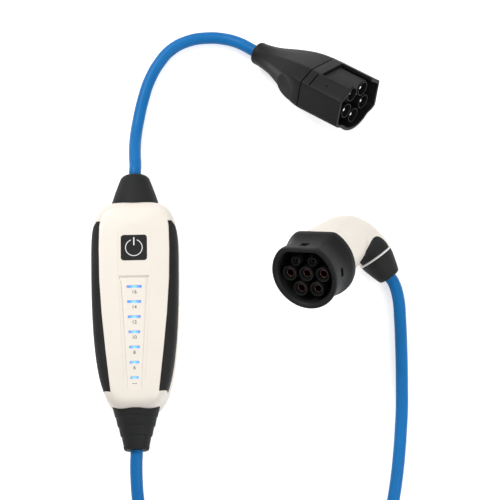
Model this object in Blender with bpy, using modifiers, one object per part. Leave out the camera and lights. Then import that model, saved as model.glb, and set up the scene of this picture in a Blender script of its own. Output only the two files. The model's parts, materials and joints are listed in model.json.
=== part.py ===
"""Portable EV charger: an in-cable control box with a supply lead and a vehicle charging cable.

Metres, +Z up. The control box lies on its back and its leads lie on the same surface.
The origin is under the middle of the control box with its two strain reliefs.
"""
import math

import bmesh
import bpy
from mathutils import Matrix, Vector

# Clearance between separate pieces
GAP = 0.0003

# Control box outline: a rounded form, widest above its middle
SHELL_HALF_WIDTH = 0.0440
SHELL_UPPER_LENGTH = 0.0573
SHELL_LOWER_LENGTH = 0.1549
SHELL_UPPER_POWERS = (3.0, 4.3)
SHELL_LOWER_POWERS = (2.4, 4.2)
OUTLINE_STEPS = 9
BOX_HEIGHT = 0.0600
WALL = 0.0036
BACK_EDGE = 0.0070
FRONT_EDGE_INSET = 0.0120
FRONT_EDGE_DEPTH = 0.0130
CROWN = 0.0015
SPLIT_HEIGHT = 0.0300
SEAL_THICKNESS = 0.0008
SEAL_INSET = 0.0007
SEAL_WIDTH = 0.0020

# Strain reliefs of the control box
UPPER_RELIEF_REACH = 0.0325
LOWER_RELIEF_REACH = 0.0389
RELIEF_NECK_RADIUS = 0.0090
RELIEF_FLANGE_RADIUS = 0.0115
RELIEF_FLANGE_THICKNESS = 0.0025
RELIEF_FLATNESS = 0.85

# Side grips
GRIP_DEPTH = 0.0018
GRIP_TOP_REACH = 0.0350
GRIP_BOTTOM_REACH = 0.1385
GRIP_LOWER_EDGE = 0.0325

# Face: flat band, badge, channel and light windows
BAND_HALF_WIDTH = 0.0220
BAND_END_HALF_WIDTH = 0.0140
BAND_SINK = 0.0006
BADGE_SIZE = 0.0258
BADGE_CORNER = 0.0030
BADGE_THICKNESS = 0.0012
BADGE_ABOVE_WIDEST = 0.0070
CHANNEL_HALF_WIDTH = 0.0130
CHANNEL_END_HALF_WIDTH = 0.0065
CHANNEL_DEPTH = 0.0018
CHANNEL_END_DEPTH = 0.0003
CHANNEL_START = 0.0257
CHANNEL_LENGTH = 0.1120
CHANNEL_LIP = 0.0046
LIGHT_COUNT = 7
LIGHT_PITCH = 0.01545
LIGHT_START = 0.0328
LIGHT_FIRST_WIDTH = 0.0144
LIGHT_LAST_WIDTH = 0.0074
LIGHT_HEIGHT = 0.0020
RAIL_WIDTH = 0.0050
RAIL_THICKNESS = 0.0030

# Electronics and fasteners inside the control box
BOARD_HALF_WIDTH = 0.0240
BOARD_LENGTH = 0.1300
BOARD_THICKNESS = 0.0016
BOARD_HEIGHT = 0.0120
LED_BOARD_WIDTH = 0.0180
LED_BOARD_THICKNESS = 0.0010
POST_RADIUS = 0.0030
BOSS_RADIUS = 0.0042
SCREW_RADIUS = 0.0014
SCREW_HEAD_RADIUS = 0.0028
SCREW_HEAD_HEIGHT = 0.0022
SCREW_LENGTH = 0.0360
COUNTERBORE_DEPTH = 0.0060
UPPER_BOSS = (0.0335, 0.0150)
LOWER_BOSS = (0.0265, -0.1190)

# Cable
CABLE_DIAMETER = 0.0125
CABLE_RADIUS = CABLE_DIAMETER / 2

# Supply connector, along its own axis back from the rim
SUPPLY_LENGTH = 0.1320
SUPPLY_HALF_WIDTH = 0.0350
SUPPLY_TOP = 0.0235
SUPPLY_TOP_HALF_WIDTH = 0.0190
SUPPLY_CHAMFER_DROP = 0.0090
SUPPLY_LOWER_CORNER = 0.0145
SUPPLY_BELLY_RADIUS = 0.0305
SUPPLY_TAIL_RADIUS = 0.0122
SUPPLY_WALL = 0.0034
SUPPLY_CAVITY_DEPTH = 0.0420
SUPPLY_SEAM = 0.0500
SUPPLY_NOTCH_DEPTH = 0.0380
PIN_COUNT = 5
PIN_CIRCLE = 0.0155
PIN_RADIUS = 0.0026
PIN_RECESS = 0.0060
WELL_RADIUS = 0.0069
WELL_WALL = 0.0009
WELL_DEPTH = 0.0290
INSULATOR_RECESS = 0.0035
INSULATOR_FLOOR = 0.0360
CORE_INSET = 0.0082
CORE_RECESS = 0.0180
BLOCK_LEFT = -0.0172
BLOCK_RIGHT = 0.0138
BLOCK_TOP = 0.0208
SUPPLY_TAIL_POINT = (0.1283, 0.2785, 0.0145)
SUPPLY_AZIMUTH = math.radians(-35.5)
SUPPLY_PITCH = math.radians(19.5)
SUPPLY_ROLL = math.radians(51.0)

# Vehicle connector, along its nose axis back from the rim
NOSE_RADIUS = 0.0355
NOSE_WAIST_RADIUS = 0.0338
NOSE_FLANGE_RADIUS = 0.0378
NOSE_FLAT_SHARE = 0.83
NOSE_LENGTH = 0.0400
NOSE_WALL = 0.0060
NOSE_FLOOR = 0.0350
LATCH_HOLE = 0.0080
LATCH_DEPTH = 0.0130
CONTACT_PITCH = 0.0185
SIGNAL_CONTACT_RISE = 0.0135
TOWER_RADIUS = 0.0075
SMALL_TOWER_RADIUS = 0.0048
TOWER_RECESS = 0.0050
CARRIER_BASE = 0.0060
SOCKET_RADIUS = 0.0044
SOCKET_BORE = 0.0034
SMALL_SOCKET_RADIUS = 0.0022
SMALL_SOCKET_BORE = 0.0016
SOCKET_RECESS = 0.0030
SOCKET_LENGTH = 0.0220
ELBOW_STRAIGHT = 0.0480
ELBOW_BEND_RADIUS = 0.0300
ELBOW_EXIT = 0.0040
ELBOW_START_RADIUS = 0.0345
ELBOW_BEND_START_RADIUS = 0.0265
ELBOW_END_RADIUS = 0.0185
ELBOW_ROLL = math.radians(30.0)
TONGUE_LENGTH = 0.0240
TONGUE_DEPTH = 0.0014
RING_THICKNESS = 0.0014
CONE_LENGTH = 0.0245
CONE_END_RADIUS = 0.0090
SPIGOT_RADIUS = 0.0115
SPIGOT_LENGTH = 0.0060
VEHICLE_CONE_END = (0.2590, 0.0345, 0.0124)
VEHICLE_NOSE_AZIMUTH = math.radians(-130.0)
VEHICLE_NOSE_ELEVATION = math.radians(42.0)
VEHICLE_EXIT_DROP = math.radians(15.0)

# Coil of the charging cable that is not laid out
COIL_CENTRE = (0.1330, -0.3000)
COIL_MEAN_RADIUS = 0.0690
COIL_RING_WIDTH = 0.0500
COIL_HEIGHT = 0.0375
COIL_CORNER = 0.0100
STRAP_THICKNESS = 0.0016
STRAP_WIDTH = 0.0200
STRAP_ANGLES = (math.radians(90.0), math.radians(270.0))

# Where each cable runs, as places on its centreline chosen along its way
SUPPLY_LEAD_ROUTE = (
    (0.0002, 0.1520, 0.0278),
    (-0.0006, 0.1700, 0.0205),
    (0.0000, 0.1900, 0.0115),
    (0.0028, 0.2100, 0.0065),
    (0.0072, 0.2300, 0.0063),
    (0.0142, 0.2520, 0.0063),
    (0.0250, 0.2720, 0.0063),
    (0.0380, 0.2865, 0.0063),
    (0.0555, 0.2955, 0.0063),
    (0.0754, 0.2985, 0.0063),
    (0.0930, 0.2968, 0.0073),
    (0.1090, 0.2908, 0.0105),
)
BOX_SIDE_ROUTE = (
    (-0.0004, -0.1520, 0.0284),
    (-0.0006, -0.1700, 0.0218),
    (0.0006, -0.1910, 0.0120),
    (0.0042, -0.2130, 0.0066),
    (0.0108, -0.2350, 0.0063),
    (0.0200, -0.2570, 0.0063),
    (0.0284, -0.2780, 0.0063),
)
PLUG_SIDE_ROUTE = (
    (0.2668, 0.0140, 0.0090),
    (0.2682, -0.0090, 0.0065),
    (0.2684, -0.0320, 0.0063),
    (0.2682, -0.0550, 0.0063),
    (0.2676, -0.0780, 0.0063),
    (0.2668, -0.1000, 0.0063),
    (0.2652, -0.1200, 0.0063),
    (0.2626, -0.1450, 0.0063),
    (0.2592, -0.1700, 0.0063),
    (0.2550, -0.1930, 0.0063),
    (0.2498, -0.2180, 0.0063),
    (0.2436, -0.2420, 0.0063),
    (0.2376, -0.2680, 0.0063),
)
CABLE_POINT_SPACING = 2.2 * CABLE_DIAMETER
EXIT_STUB = 0.0050
COIL_LEAD_HEIGHT = 0.0064
COIL_EDGE_NEARER = 0.0013

# The widest line of the shell, with the whole box and its reliefs centred on the origin
SHELL_WIDEST_Y = (SHELL_LOWER_LENGTH + LOWER_RELIEF_REACH - SHELL_UPPER_LENGTH - UPPER_RELIEF_REACH) / 2
SHELL_TOP_Y = SHELL_WIDEST_Y + SHELL_UPPER_LENGTH
SHELL_BOTTOM_Y = SHELL_WIDEST_Y - SHELL_LOWER_LENGTH
FACE_HEIGHT = BOX_HEIGHT - BAND_SINK
CHANNEL_START_Y = SHELL_WIDEST_Y - CHANNEL_START
CHANNEL_END_Y = CHANNEL_START_Y - CHANNEL_LENGTH


def new_collection(name):
    collection = bpy.data.collections.new(name)
    bpy.context.scene.collection.children.link(collection)
    return collection


for startup_object in list(bpy.data.objects):
    bpy.data.objects.remove(startup_object)

PARTS = new_collection("portable_ev_charger")
CUTTERS = new_collection("cutters")


def material(name, colour, roughness, metallic=0.0):
    made = bpy.data.materials.get(name)
    if made is None:
        made = bpy.data.materials.new(name)
        made.use_nodes = True
        shader = made.node_tree.nodes["Principled BSDF"]
        shader.inputs["Base Color"].default_value = (*colour, 1.0)
        shader.inputs["Roughness"].default_value = roughness
        shader.inputs["Metallic"].default_value = metallic
        made.diffuse_color = (*colour, 1.0)
    return made


def cream_plastic():
    return material("cream_plastic", (0.94, 0.88, 0.78), 0.35)


def black_rubber():
    return material("black_rubber", (0.025, 0.026, 0.026), 0.6)


def black_plastic():
    return material("black_plastic", (0.03, 0.03, 0.03), 0.45)


def badge_gloss():
    return material("badge_gloss", (0.004, 0.004, 0.004), 0.12)


def light_blue():
    return material("light_guide_blue", (0.10, 0.35, 0.95), 0.2)


def cable_blue():
    return material("cable_blue", (0.010, 0.19, 0.51), 0.45)


def board_green():
    return material("board_green", (0.02, 0.16, 0.05), 0.4)


def component_grey():
    return material("component_grey", (0.20, 0.20, 0.21), 0.5)


def steel():
    return material("steel", (0.55, 0.55, 0.56), 0.3, 1.0)


def contact_copper():
    return material("contact_copper", (0.55, 0.27, 0.17), 0.3, 1.0)


def pin_metal():
    return material("pin_metal", (0.80, 0.80, 0.78), 0.25, 1.0)


def ring_silver():
    return material("ring_silver", (0.85, 0.85, 0.84), 0.25, 0.3)


def finish(name, mesh, paint, parent=None, smooth_angle=35.0):
    """Make an object of a mesh: a part where it has a material, a cutter where it has none."""
    made = bpy.data.objects.new(name, mesh)
    if paint is None:
        CUTTERS.objects.link(made)
        made.hide_render = True
        made.display_type = "WIRE"
    else:
        PARTS.objects.link(made)
        mesh.materials.append(paint)
        mesh.shade_smooth()
        mesh.set_sharp_from_angle(angle=math.radians(smooth_angle))
    if parent is not None:
        made.parent = parent
    return made


def mesh_from(name, bm):
    bmesh.ops.recalc_face_normals(bm, faces=bm.faces)
    mesh = bpy.data.meshes.new(name)
    bm.to_mesh(mesh)
    bm.free()
    return mesh


def add_loft(bm, rings):
    """Skin a closed solid over rings that all have the same number of points."""
    levels = [[bm.verts.new(point) for point in ring] for ring in rings]
    count = len(rings[0])
    for low, high in zip(levels, levels[1:]):
        for index in range(count):
            after = (index + 1) % count
            bm.faces.new((low[index], low[after], high[after], high[index]))
    bm.faces.new(list(reversed(levels[0])))
    bm.faces.new(levels[-1])


def loft(name, rings, paint, parent=None):
    bm = bmesh.new()
    add_loft(bm, rings)
    return finish(name, mesh_from(name, bm), paint, parent)


def lofts(name, ring_sets, paint, parent=None):
    """Several separate lofted solids in one object, for cutters and like fasteners."""
    bm = bmesh.new()
    for rings in ring_sets:
        add_loft(bm, rings)
    return finish(name, mesh_from(name, bm), paint, parent)


def circle(radius, height, segments, centre=(0.0, 0.0)):
    points = []
    for index in range(segments):
        angle = math.tau * index / segments
        points.append(Vector((centre[0] + radius * math.cos(angle), centre[1] + radius * math.sin(angle), height)))
    return points


def rod(radius, low, high, segments=20, centre=(0.0, 0.0)):
    return [circle(radius, low, segments, centre), circle(radius, high, segments, centre)]


def along_y(rings):
    """Turn rings stacked up Z into rings stacked up Y."""
    return [[Vector((point.x, point.z, -point.y)) for point in ring] for ring in rings]


def moved(rings, offset):
    shift = Vector(offset)
    return [[point + shift for point in ring] for ring in rings]


def rounded_rectangle(width, length, corner, height, steps=4, centre=(0.0, 0.0)):
    points = []
    for quadrant, (side_x, side_y) in enumerate(((1, 1), (-1, 1), (-1, -1), (1, -1))):
        middle_x = centre[0] + side_x * (width / 2 - corner)
        middle_y = centre[1] + side_y * (length / 2 - corner)
        for step in range(steps + 1):
            angle = math.pi / 2 * (quadrant + step / steps)
            points.append(Vector((middle_x + corner * math.cos(angle), middle_y + corner * math.sin(angle), height)))
    return points


def block(width, length, corner, low, high, centre=(0.0, 0.0), steps=2):
    return [rounded_rectangle(width, length, corner, height, steps, centre) for height in (low, high)]


def boolean(target, tool, operation="DIFFERENCE"):
    modifier = target.modifiers.new(tool.name, "BOOLEAN")
    modifier.operation = operation
    modifier.solver = "EXACT"
    modifier.object = tool
    return target


def inset_ring(points, distance):
    """Move each side of a closed outline inward by a distance."""
    moved_points = []
    count = len(points)
    for index, point in enumerate(points):
        before = (point - points[index - 1]).normalized()
        after = (points[(index + 1) % count] - point).normalized()
        inward = Vector((-before.y - after.y, before.x + after.x)).normalized()
        reach = distance / max(0.3, inward.dot(Vector((-before.y, before.x))))
        moved_points.append(point + inward * reach)
    return moved_points


def turned(name, profile, paint, parent=None, segments=24):
    """Turn a profile about Z; its points are (radius, height), down the outer side."""
    mesh = bpy.data.meshes.new(name)
    points = [(radius, 0.0, height) for radius, height in profile]
    edges = [(index, index + 1) for index in range(len(points) - 1)]
    mesh.from_pydata(points, edges, [])
    made = finish(name, mesh, paint, parent)
    screw = made.modifiers.new("Turn", "SCREW")
    screw.steps = segments
    screw.render_steps = segments
    screw.use_merge_vertices = True
    screw.merge_threshold = 0.00001
    screw.use_smooth_shade = True
    return made


# Control box

def power_part(value, exponent):
    return math.copysign(abs(value) ** exponent, value)


def shell_outline():
    """Plan outline of the box, anticlockwise: a blunt top and a long tapering lower part."""
    points = []
    total = 4 * OUTLINE_STEPS
    for index in range(total):
        angle = math.tau * index / total
        upper = math.sin(angle) >= 0
        length = SHELL_UPPER_LENGTH if upper else SHELL_LOWER_LENGTH
        along, across = SHELL_UPPER_POWERS if upper else SHELL_LOWER_POWERS
        x = SHELL_HALF_WIDTH * power_part(math.cos(angle), 2 / across)
        y = SHELL_WIDEST_Y + length * power_part(math.sin(angle), 2 / along)
        points.append(Vector((x, y)))
    return points


def shell_sections(offset):
    """The side of the box from its back to its crown, as (inset from the outline, height).

    Inner surfaces have fewer steps than those that show.
    """
    sections = []
    fine = offset < WALL
    for degrees in (90, 65, 40, 20, 0) if fine else (90, 45, 0):
        angle = math.radians(degrees)
        reach = BACK_EDGE - offset
        sections.append((BACK_EDGE - reach * math.cos(angle), BACK_EDGE - reach * math.sin(angle)))
    shoulder = BOX_HEIGHT - CROWN - FRONT_EDGE_DEPTH
    for degrees in (0, 18, 36, 54, 72, 90) if fine else (0, 30, 60, 90):
        angle = math.radians(degrees)
        across = (FRONT_EDGE_INSET - offset) * math.cos(angle)
        rise = (FRONT_EDGE_DEPTH - offset) * math.sin(angle)
        sections.append((FRONT_EDGE_INSET - across, shoulder + rise))
    return sections


def body_solid(name, offset, paint=None):
    """The whole box as one solid, its surface moved inward by an offset."""
    outline = shell_outline()
    rings = []
    for inset, height in shell_sections(offset):
        rings.append([Vector((point.x, point.y, height)) for point in inset_ring(outline, inset)])
    front = rings[-1]
    margin = 0.030
    for share, rise in ((0.4, 0.7), (0.85, 1.0)):
        ring = []
        for point in front:
            spine_y = min(max(point.y, SHELL_BOTTOM_Y + margin), SHELL_TOP_Y - margin)
            x = point.x * (1 - share)
            y = point.y + (spine_y - point.y) * share
            ring.append(Vector((x, y, point.z + CROWN * rise)))
        rings.append(ring)
    return loft(name, rings, paint)


def slab(name, low, high):
    """A wide level slab, to keep or cut the box between two heights."""
    centre = (0.0, (SHELL_TOP_Y + SHELL_BOTTOM_Y) / 2)
    return loft(name, block(0.2, 0.4, 0.001, low, high, centre), None)


def neck_rods():
    """Room for both strain relief necks through the end walls."""
    depth = WALL + 0.008
    rods = []
    for end_y in (SHELL_TOP_Y, SHELL_BOTTOM_Y):
        rings = along_y(rod(RELIEF_NECK_RADIUS + GAP, -depth, depth, 20))
        rods.append(moved(rings, (0.0, end_y, SPLIT_HEIGHT)))
    return lofts("neck_holes", rods, None)


def boss_places():
    places = []
    for across, above in (UPPER_BOSS, LOWER_BOSS):
        for side in (-1, 1):
            places.append((side * across, SHELL_WIDEST_Y + above))
    return places


def post_places():
    places = []
    for side_y in (-1, 1):
        for side_x in (-1, 1):
            across = side_x * (BOARD_HALF_WIDTH - 0.005)
            places.append((across, board_centre_y() + side_y * (BOARD_LENGTH / 2 - 0.006)))
    return places


def board_centre_y():
    return (SHELL_TOP_Y + SHELL_BOTTOM_Y) / 2


def rods_at(name, places, radius, low, high, segments=12):
    return lofts(name, [rod(radius, low, high, segments, place) for place in places], None)


def grip_region(shrink, low, high, side):
    """Plan region of a side grip, from its inner edge out past the box, as a prism."""
    inner = [
        (0.0343, GRIP_TOP_REACH), (0.0352, 0.0300), (0.0357, 0.0070), (0.0352, -0.0240),
        (0.0328, -0.0600), (0.0292, -0.0960), (0.0243, -GRIP_BOTTOM_REACH),
    ]
    lower_end = [(0.0290, -GRIP_BOTTOM_REACH + 0.0012), (0.0330, -GRIP_BOTTOM_REACH + 0.0050)]
    outer = [(0.0600, -GRIP_BOTTOM_REACH + 0.0100), (0.0600, 0.0190)]
    upper_end = [(0.0430, 0.0255), (0.0408, 0.0315), (0.0376, 0.0356)]
    outline = [Vector((x, SHELL_WIDEST_Y + y)) for x, y in inner + lower_end + outer + upper_end]
    outline = inset_ring(outline, shrink)
    return [[Vector((side * point.x, point.y, height)) for point in outline] for height in (low, high)]


def grip_pockets():
    sets = [grip_region(-GAP, GRIP_LOWER_EDGE, BOX_HEIGHT + 0.01, side) for side in (-1, 1)]
    pockets = lofts("grip_pockets", sets, None)
    return boolean(pockets, body_solid("grip_pocket_floor", GRIP_DEPTH + GAP))


def make_grip(name, side):
    region = grip_region(0.0, GRIP_LOWER_EDGE + GAP, BOX_HEIGHT + 0.005, side)
    grip = loft(name, region, black_rubber())
    boolean(grip, body_solid(name + "_outside", 0.0), "INTERSECT")
    return boolean(grip, body_solid(name + "_inside", GRIP_DEPTH))


def light_width(index):
    share = index / (LIGHT_COUNT - 1)
    return LIGHT_FIRST_WIDTH + (LIGHT_LAST_WIDTH - LIGHT_FIRST_WIDTH) * share


def light_y(index):
    return SHELL_WIDEST_Y - LIGHT_START - LIGHT_PITCH * index


def channel_floor(y):
    """Height of the channel floor, which runs out towards the lower end."""
    share = (CHANNEL_START_Y - y) / CHANNEL_LENGTH
    return FACE_HEIGHT - CHANNEL_DEPTH + (CHANNEL_DEPTH - CHANNEL_END_DEPTH) * share


def channel_cutter():
    """A tapering channel whose upper end is a sloped lip."""
    above = 0.003
    spread = 1 + above / CHANNEL_DEPTH
    lip_y = CHANNEL_START_Y + CHANNEL_LIP * spread
    lip_half = CHANNEL_HALF_WIDTH + 0.004 * spread
    side_y = CHANNEL_START_Y - 0.004
    side = CHANNEL_HALF_WIDTH - 0.0002
    floor = [
        (CHANNEL_HALF_WIDTH, CHANNEL_START_Y), (-CHANNEL_HALF_WIDTH, CHANNEL_START_Y), (-side, side_y),
        (-CHANNEL_END_HALF_WIDTH, CHANNEL_END_Y), (CHANNEL_END_HALF_WIDTH, CHANNEL_END_Y), (side, side_y),
    ]
    top = [
        (lip_half, lip_y), (-lip_half, lip_y), (-side - 0.002, side_y),
        (-CHANNEL_END_HALF_WIDTH - 0.001, CHANNEL_END_Y - 0.002),
        (CHANNEL_END_HALF_WIDTH + 0.001, CHANNEL_END_Y - 0.002), (side + 0.002, side_y),
    ]
    low = [Vector((x, y, channel_floor(y))) for x, y in floor]
    high = [Vector((x, y, FACE_HEIGHT + above)) for x, y in top]
    return loft("channel", [low, high], None)


def band_cutter():
    """Everything above the flat band that runs down the middle of the face."""
    top_y = SHELL_WIDEST_Y + 0.034
    bottom_y = CHANNEL_END_Y - 0.012
    outline = [
        (BAND_HALF_WIDTH, top_y), (-BAND_HALF_WIDTH, top_y),
        (-BAND_END_HALF_WIDTH, bottom_y), (BAND_END_HALF_WIDTH, bottom_y),
    ]
    rings = [[Vector((x, y, height)) for x, y in outline] for height in (FACE_HEIGHT, BOX_HEIGHT + 0.01)]
    return loft("face_band", rings, None)


def badge_centre():
    return (0.0, SHELL_WIDEST_Y + BADGE_ABOVE_WIDEST)


def badge_pocket():
    side = BADGE_SIZE + 2 * GAP
    low = FACE_HEIGHT - BADGE_THICKNESS - GAP
    return loft("badge_pocket", block(side, side, BADGE_CORNER, low, BOX_HEIGHT + 0.01, badge_centre(), 4), None)


def light_windows(grow, low):
    sets = []
    for index in range(LIGHT_COUNT):
        place = (0.0, light_y(index))
        top = channel_floor(light_y(index)) + (0.004 if grow > 0 else -0.0001)
        corner = LIGHT_HEIGHT * 0.35
        sets.append(block(light_width(index) + 2 * grow, LIGHT_HEIGHT + 2 * grow, corner, low, top, place))
    return sets


def make_front_shell():
    shell = body_solid("front_shell", 0.0, cream_plastic())
    boolean(shell, body_solid("front_cavity", WALL))
    low = SPLIT_HEIGHT + SEAL_THICKNESS / 2 + GAP
    boolean(shell, slab("below_front_shell", -0.02, low))
    boss_top = BOX_HEIGHT - CROWN - WALL - 0.0008
    boolean(shell, rods_at("front_bosses", boss_places(), BOSS_RADIUS, low, boss_top), "UNION")
    hole_top = COUNTERBORE_DEPTH + SCREW_LENGTH + 2 * GAP
    boolean(shell, rods_at("front_boss_holes", boss_places(), SCREW_RADIUS + GAP, 0.0, hole_top))
    boolean(shell, bpy.data.objects["neck_holes"])
    boolean(shell, band_cutter())
    boolean(shell, channel_cutter())
    boolean(shell, badge_pocket())
    windows = light_windows(GAP, FACE_HEIGHT - CHANNEL_DEPTH - WALL)
    boolean(shell, lofts("window_holes", windows, None))
    return boolean(shell, grip_pockets())


def make_back_shell():
    shell = body_solid("back_shell", 0.0, cream_plastic())
    boolean(shell, body_solid("back_cavity", WALL))
    high = SPLIT_HEIGHT - SEAL_THICKNESS / 2 - GAP
    boolean(shell, slab("above_back_shell", high, BOX_HEIGHT + 0.02))
    boolean(shell, rods_at("back_bosses", boss_places(), BOSS_RADIUS, WALL / 2, high), "UNION")
    post_top = BOARD_HEIGHT - GAP
    boolean(shell, rods_at("board_posts", post_places(), POST_RADIUS, WALL / 2, post_top, 12), "UNION")
    boolean(shell, rods_at("back_boss_holes", boss_places(), SCREW_RADIUS + GAP, -0.01, SPLIT_HEIGHT))
    counterbores = rods_at("counterbores", boss_places(), SCREW_HEAD_RADIUS + GAP, -0.01, COUNTERBORE_DEPTH)
    boolean(shell, counterbores)
    return boolean(shell, bpy.data.objects["neck_holes"])


def make_seal(name, side):
    """One half of the seal between the shells, from neck to neck."""
    seal = body_solid(name, SEAL_INSET, black_rubber())
    boolean(seal, body_solid(name + "_inside", SEAL_INSET + SEAL_WIDTH))
    half = SEAL_THICKNESS / 2
    region = block(0.1, 0.4, 0.001, SPLIT_HEIGHT - half, SPLIT_HEIGHT + half, (side * 0.05, board_centre_y()))
    boolean(seal, loft(name + "_region", region, None), "INTERSECT")
    return boolean(seal, bpy.data.objects["neck_holes"])


def make_screw(name, place):
    head_low = COUNTERBORE_DEPTH - SCREW_HEAD_HEIGHT - GAP
    head_high = COUNTERBORE_DEPTH - GAP
    tip = COUNTERBORE_DEPTH + SCREW_LENGTH
    rings = [
        circle(SCREW_HEAD_RADIUS, head_low, 12, place), circle(SCREW_HEAD_RADIUS, head_high, 12, place),
        circle(SCREW_RADIUS, head_high, 12, place), circle(SCREW_RADIUS, tip, 12, place),
    ]
    screw = loft(name, rings, steel())
    slot = rod(SCREW_HEAD_RADIUS * 0.45, head_low - 0.001, head_low + 0.0012, 6, place)
    return boolean(screw, loft(name + "_socket", slot, None))


def relief_ring(distance, half_width, tip_half_width, segments=24):
    """An oval section of a strain relief, flatter than wide, at a distance from the shell end."""
    half_depth = tip_half_width + (half_width - tip_half_width) * RELIEF_FLATNESS
    ring = []
    for point in circle(1.0, distance, segments):
        ring.append(Vector((point.x * half_width, point.y * half_depth, distance)))
    return ring


def make_relief(name, end_y, direction, sections, tip_half_width):
    rings = [relief_ring(distance, half, tip_half_width) for distance, half in sections]
    neck_start = -WALL - RELIEF_FLANGE_THICKNESS - GAP
    neck = rod(RELIEF_NECK_RADIUS, neck_start + 0.001, 0.004, 20)
    flange = rod(RELIEF_FLANGE_RADIUS, neck_start, -WALL + 0.001, 20)
    turn = 1 if direction > 0 else -1
    place = (0.0, end_y, SPLIT_HEIGHT)

    def placed(stack):
        flipped = [[Vector((p.x, p.y, p.z * turn)) for p in ring] for ring in stack]
        return moved(along_y(flipped), place)

    relief = loft(name, placed(rings), black_rubber())
    boolean(relief, body_solid(name + "_seat", -GAP))
    boolean(relief, loft(name + "_neck", placed(neck), None), "UNION")
    inner_flange = loft(name + "_flange", placed(flange), None)
    boolean(inner_flange, body_solid(name + "_flange_room", WALL + GAP), "INTERSECT")
    return boolean(relief, inner_flange, "UNION")


def make_upper_relief():
    tip = 0.0120
    sections = (
        (-0.0120, 0.0245), (-0.0012, 0.0226), (0.0048, 0.0214), (0.0148, 0.0180),
        (0.0248, 0.0140), (0.0296, tip), (0.0309, 0.0110), (UPPER_RELIEF_REACH, 0.0088),
    )
    return make_relief("upper_strain_relief", SHELL_TOP_Y, 1, sections, tip)


def make_lower_relief():
    """A stepped taper: three small ledges, then the flat end."""
    tip = 0.0123
    sections = (
        (-0.0140, 0.0262), (0.0060, 0.0217), (0.0062, 0.0210), (0.0150, 0.0193), (0.0152, 0.0187),
        (0.0262, 0.0164), (0.0264, 0.0158), (LOWER_RELIEF_REACH, tip),
    )
    return make_relief("lower_strain_relief", SHELL_BOTTOM_Y, -1, sections, tip)


def make_badge():
    low = FACE_HEIGHT - BADGE_THICKNESS
    rings = block(BADGE_SIZE, BADGE_SIZE, BADGE_CORNER, low, FACE_HEIGHT, badge_centre(), 4)
    return loft("badge_plate", rings, badge_gloss())


def rail_span():
    high = light_y(0) + LIGHT_HEIGHT
    low = light_y(LIGHT_COUNT - 1) - LIGHT_HEIGHT
    return low, high


def rail_top():
    return BOX_HEIGHT - WALL - GAP - 0.0003


def make_light_guide():
    """A clear rail behind the channel with one finger through each window."""
    low, high = rail_span()
    length = high - low
    rail = block(RAIL_WIDTH, length, 0.001, rail_top() - RAIL_THICKNESS, rail_top(), (0.0, (low + high) / 2))
    guide = loft("light_guide", rail, light_blue())
    fingers = lofts("light_fingers", light_windows(0.0, rail_top() - RAIL_THICKNESS / 2), None)
    return boolean(guide, fingers, "UNION")


def led_board_span():
    high = rail_top() - RAIL_THICKNESS - GAP
    return high - LED_BOARD_THICKNESS, high


def make_led_board():
    """The strip of lamps behind the light guide."""
    low, high = rail_span()
    centre = (0.0, (low + high) / 2)
    rings = [rounded_rectangle(LED_BOARD_WIDTH, high - low, 0.001, level, 4, centre) for level in led_board_span()]
    return loft("led_board", rings, board_green())


def make_component(name, size, height, place, paint):
    """A plain block on the main board."""
    low = BOARD_HEIGHT + BOARD_THICKNESS + GAP
    centre = (place[0], board_centre_y() + place[1])
    return loft(name, block(size[0], size[1], 0.0015, low, low + height, centre), paint)


def make_electronics():
    """The main board and what stands on it."""
    board = block(2 * BOARD_HALF_WIDTH, BOARD_LENGTH, 0.002, BOARD_HEIGHT, BOARD_HEIGHT + BOARD_THICKNESS,
                  (0.0, board_centre_y()))
    loft("main_board", board, board_green())
    terminal_y = BOARD_LENGTH / 2 - 0.009
    for index, across in enumerate((-0.0110, 0.0110)):
        make_component("mains_relay_%d" % (index + 1), (0.016, 0.030), 0.026, (across, 0.032), component_grey())
    make_component("supply_module", (0.026, 0.020), 0.018, (0.0100, 0.004), component_grey())
    make_component("supply_terminals", (0.040, 0.012), 0.012, (0.0, terminal_y), black_plastic())
    make_component("charging_terminals", (0.040, 0.012), 0.012, (0.0, -terminal_y), black_plastic())
    stand_height = led_board_span()[0] - BOARD_HEIGHT - BOARD_THICKNESS - 2 * GAP
    make_component("led_board_stand", (0.010, 0.012), stand_height, (-0.0100, 0.004), component_grey())
    make_current_sensor()


def make_current_sensor():
    """The ring core that the phase conductors pass through, lying on the board."""
    radius = 0.0105
    tube = 0.0042
    centre_height = BOARD_HEIGHT + BOARD_THICKNESS + GAP + tube
    profile = []
    for step in range(9):
        angle = math.tau * (0.25 - step / 8)
        profile.append((radius + tube * math.cos(angle), tube * math.sin(angle)))
    sensor = turned("current_sensor", profile, component_grey(), None, 18)
    sensor.location = (0.0, board_centre_y() - 0.0270, centre_height)
    return sensor


def make_control_box():
    neck_rods()
    make_front_shell()
    make_back_shell()
    make_seal("shell_seal_left", -1)
    make_seal("shell_seal_right", 1)
    make_grip("side_grip_left", -1)
    make_grip("side_grip_right", 1)
    make_upper_relief()
    make_lower_relief()
    make_badge()
    make_light_guide()
    make_led_board()
    make_electronics()
    for index, place in enumerate(boss_places()):
        make_screw("shell_screw_%d" % (index + 1), place)


# Supply connector

def frame(name, right, up, forward, origin):
    """An empty that carries a connector: its local X, Y and Z lie along the three directions."""
    empty = bpy.data.objects.new(name, None)
    PARTS.objects.link(empty)
    basis = Matrix((right, up, forward)).transposed().to_4x4()
    empty.matrix_world = Matrix.Translation(origin) @ basis
    return empty


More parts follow.
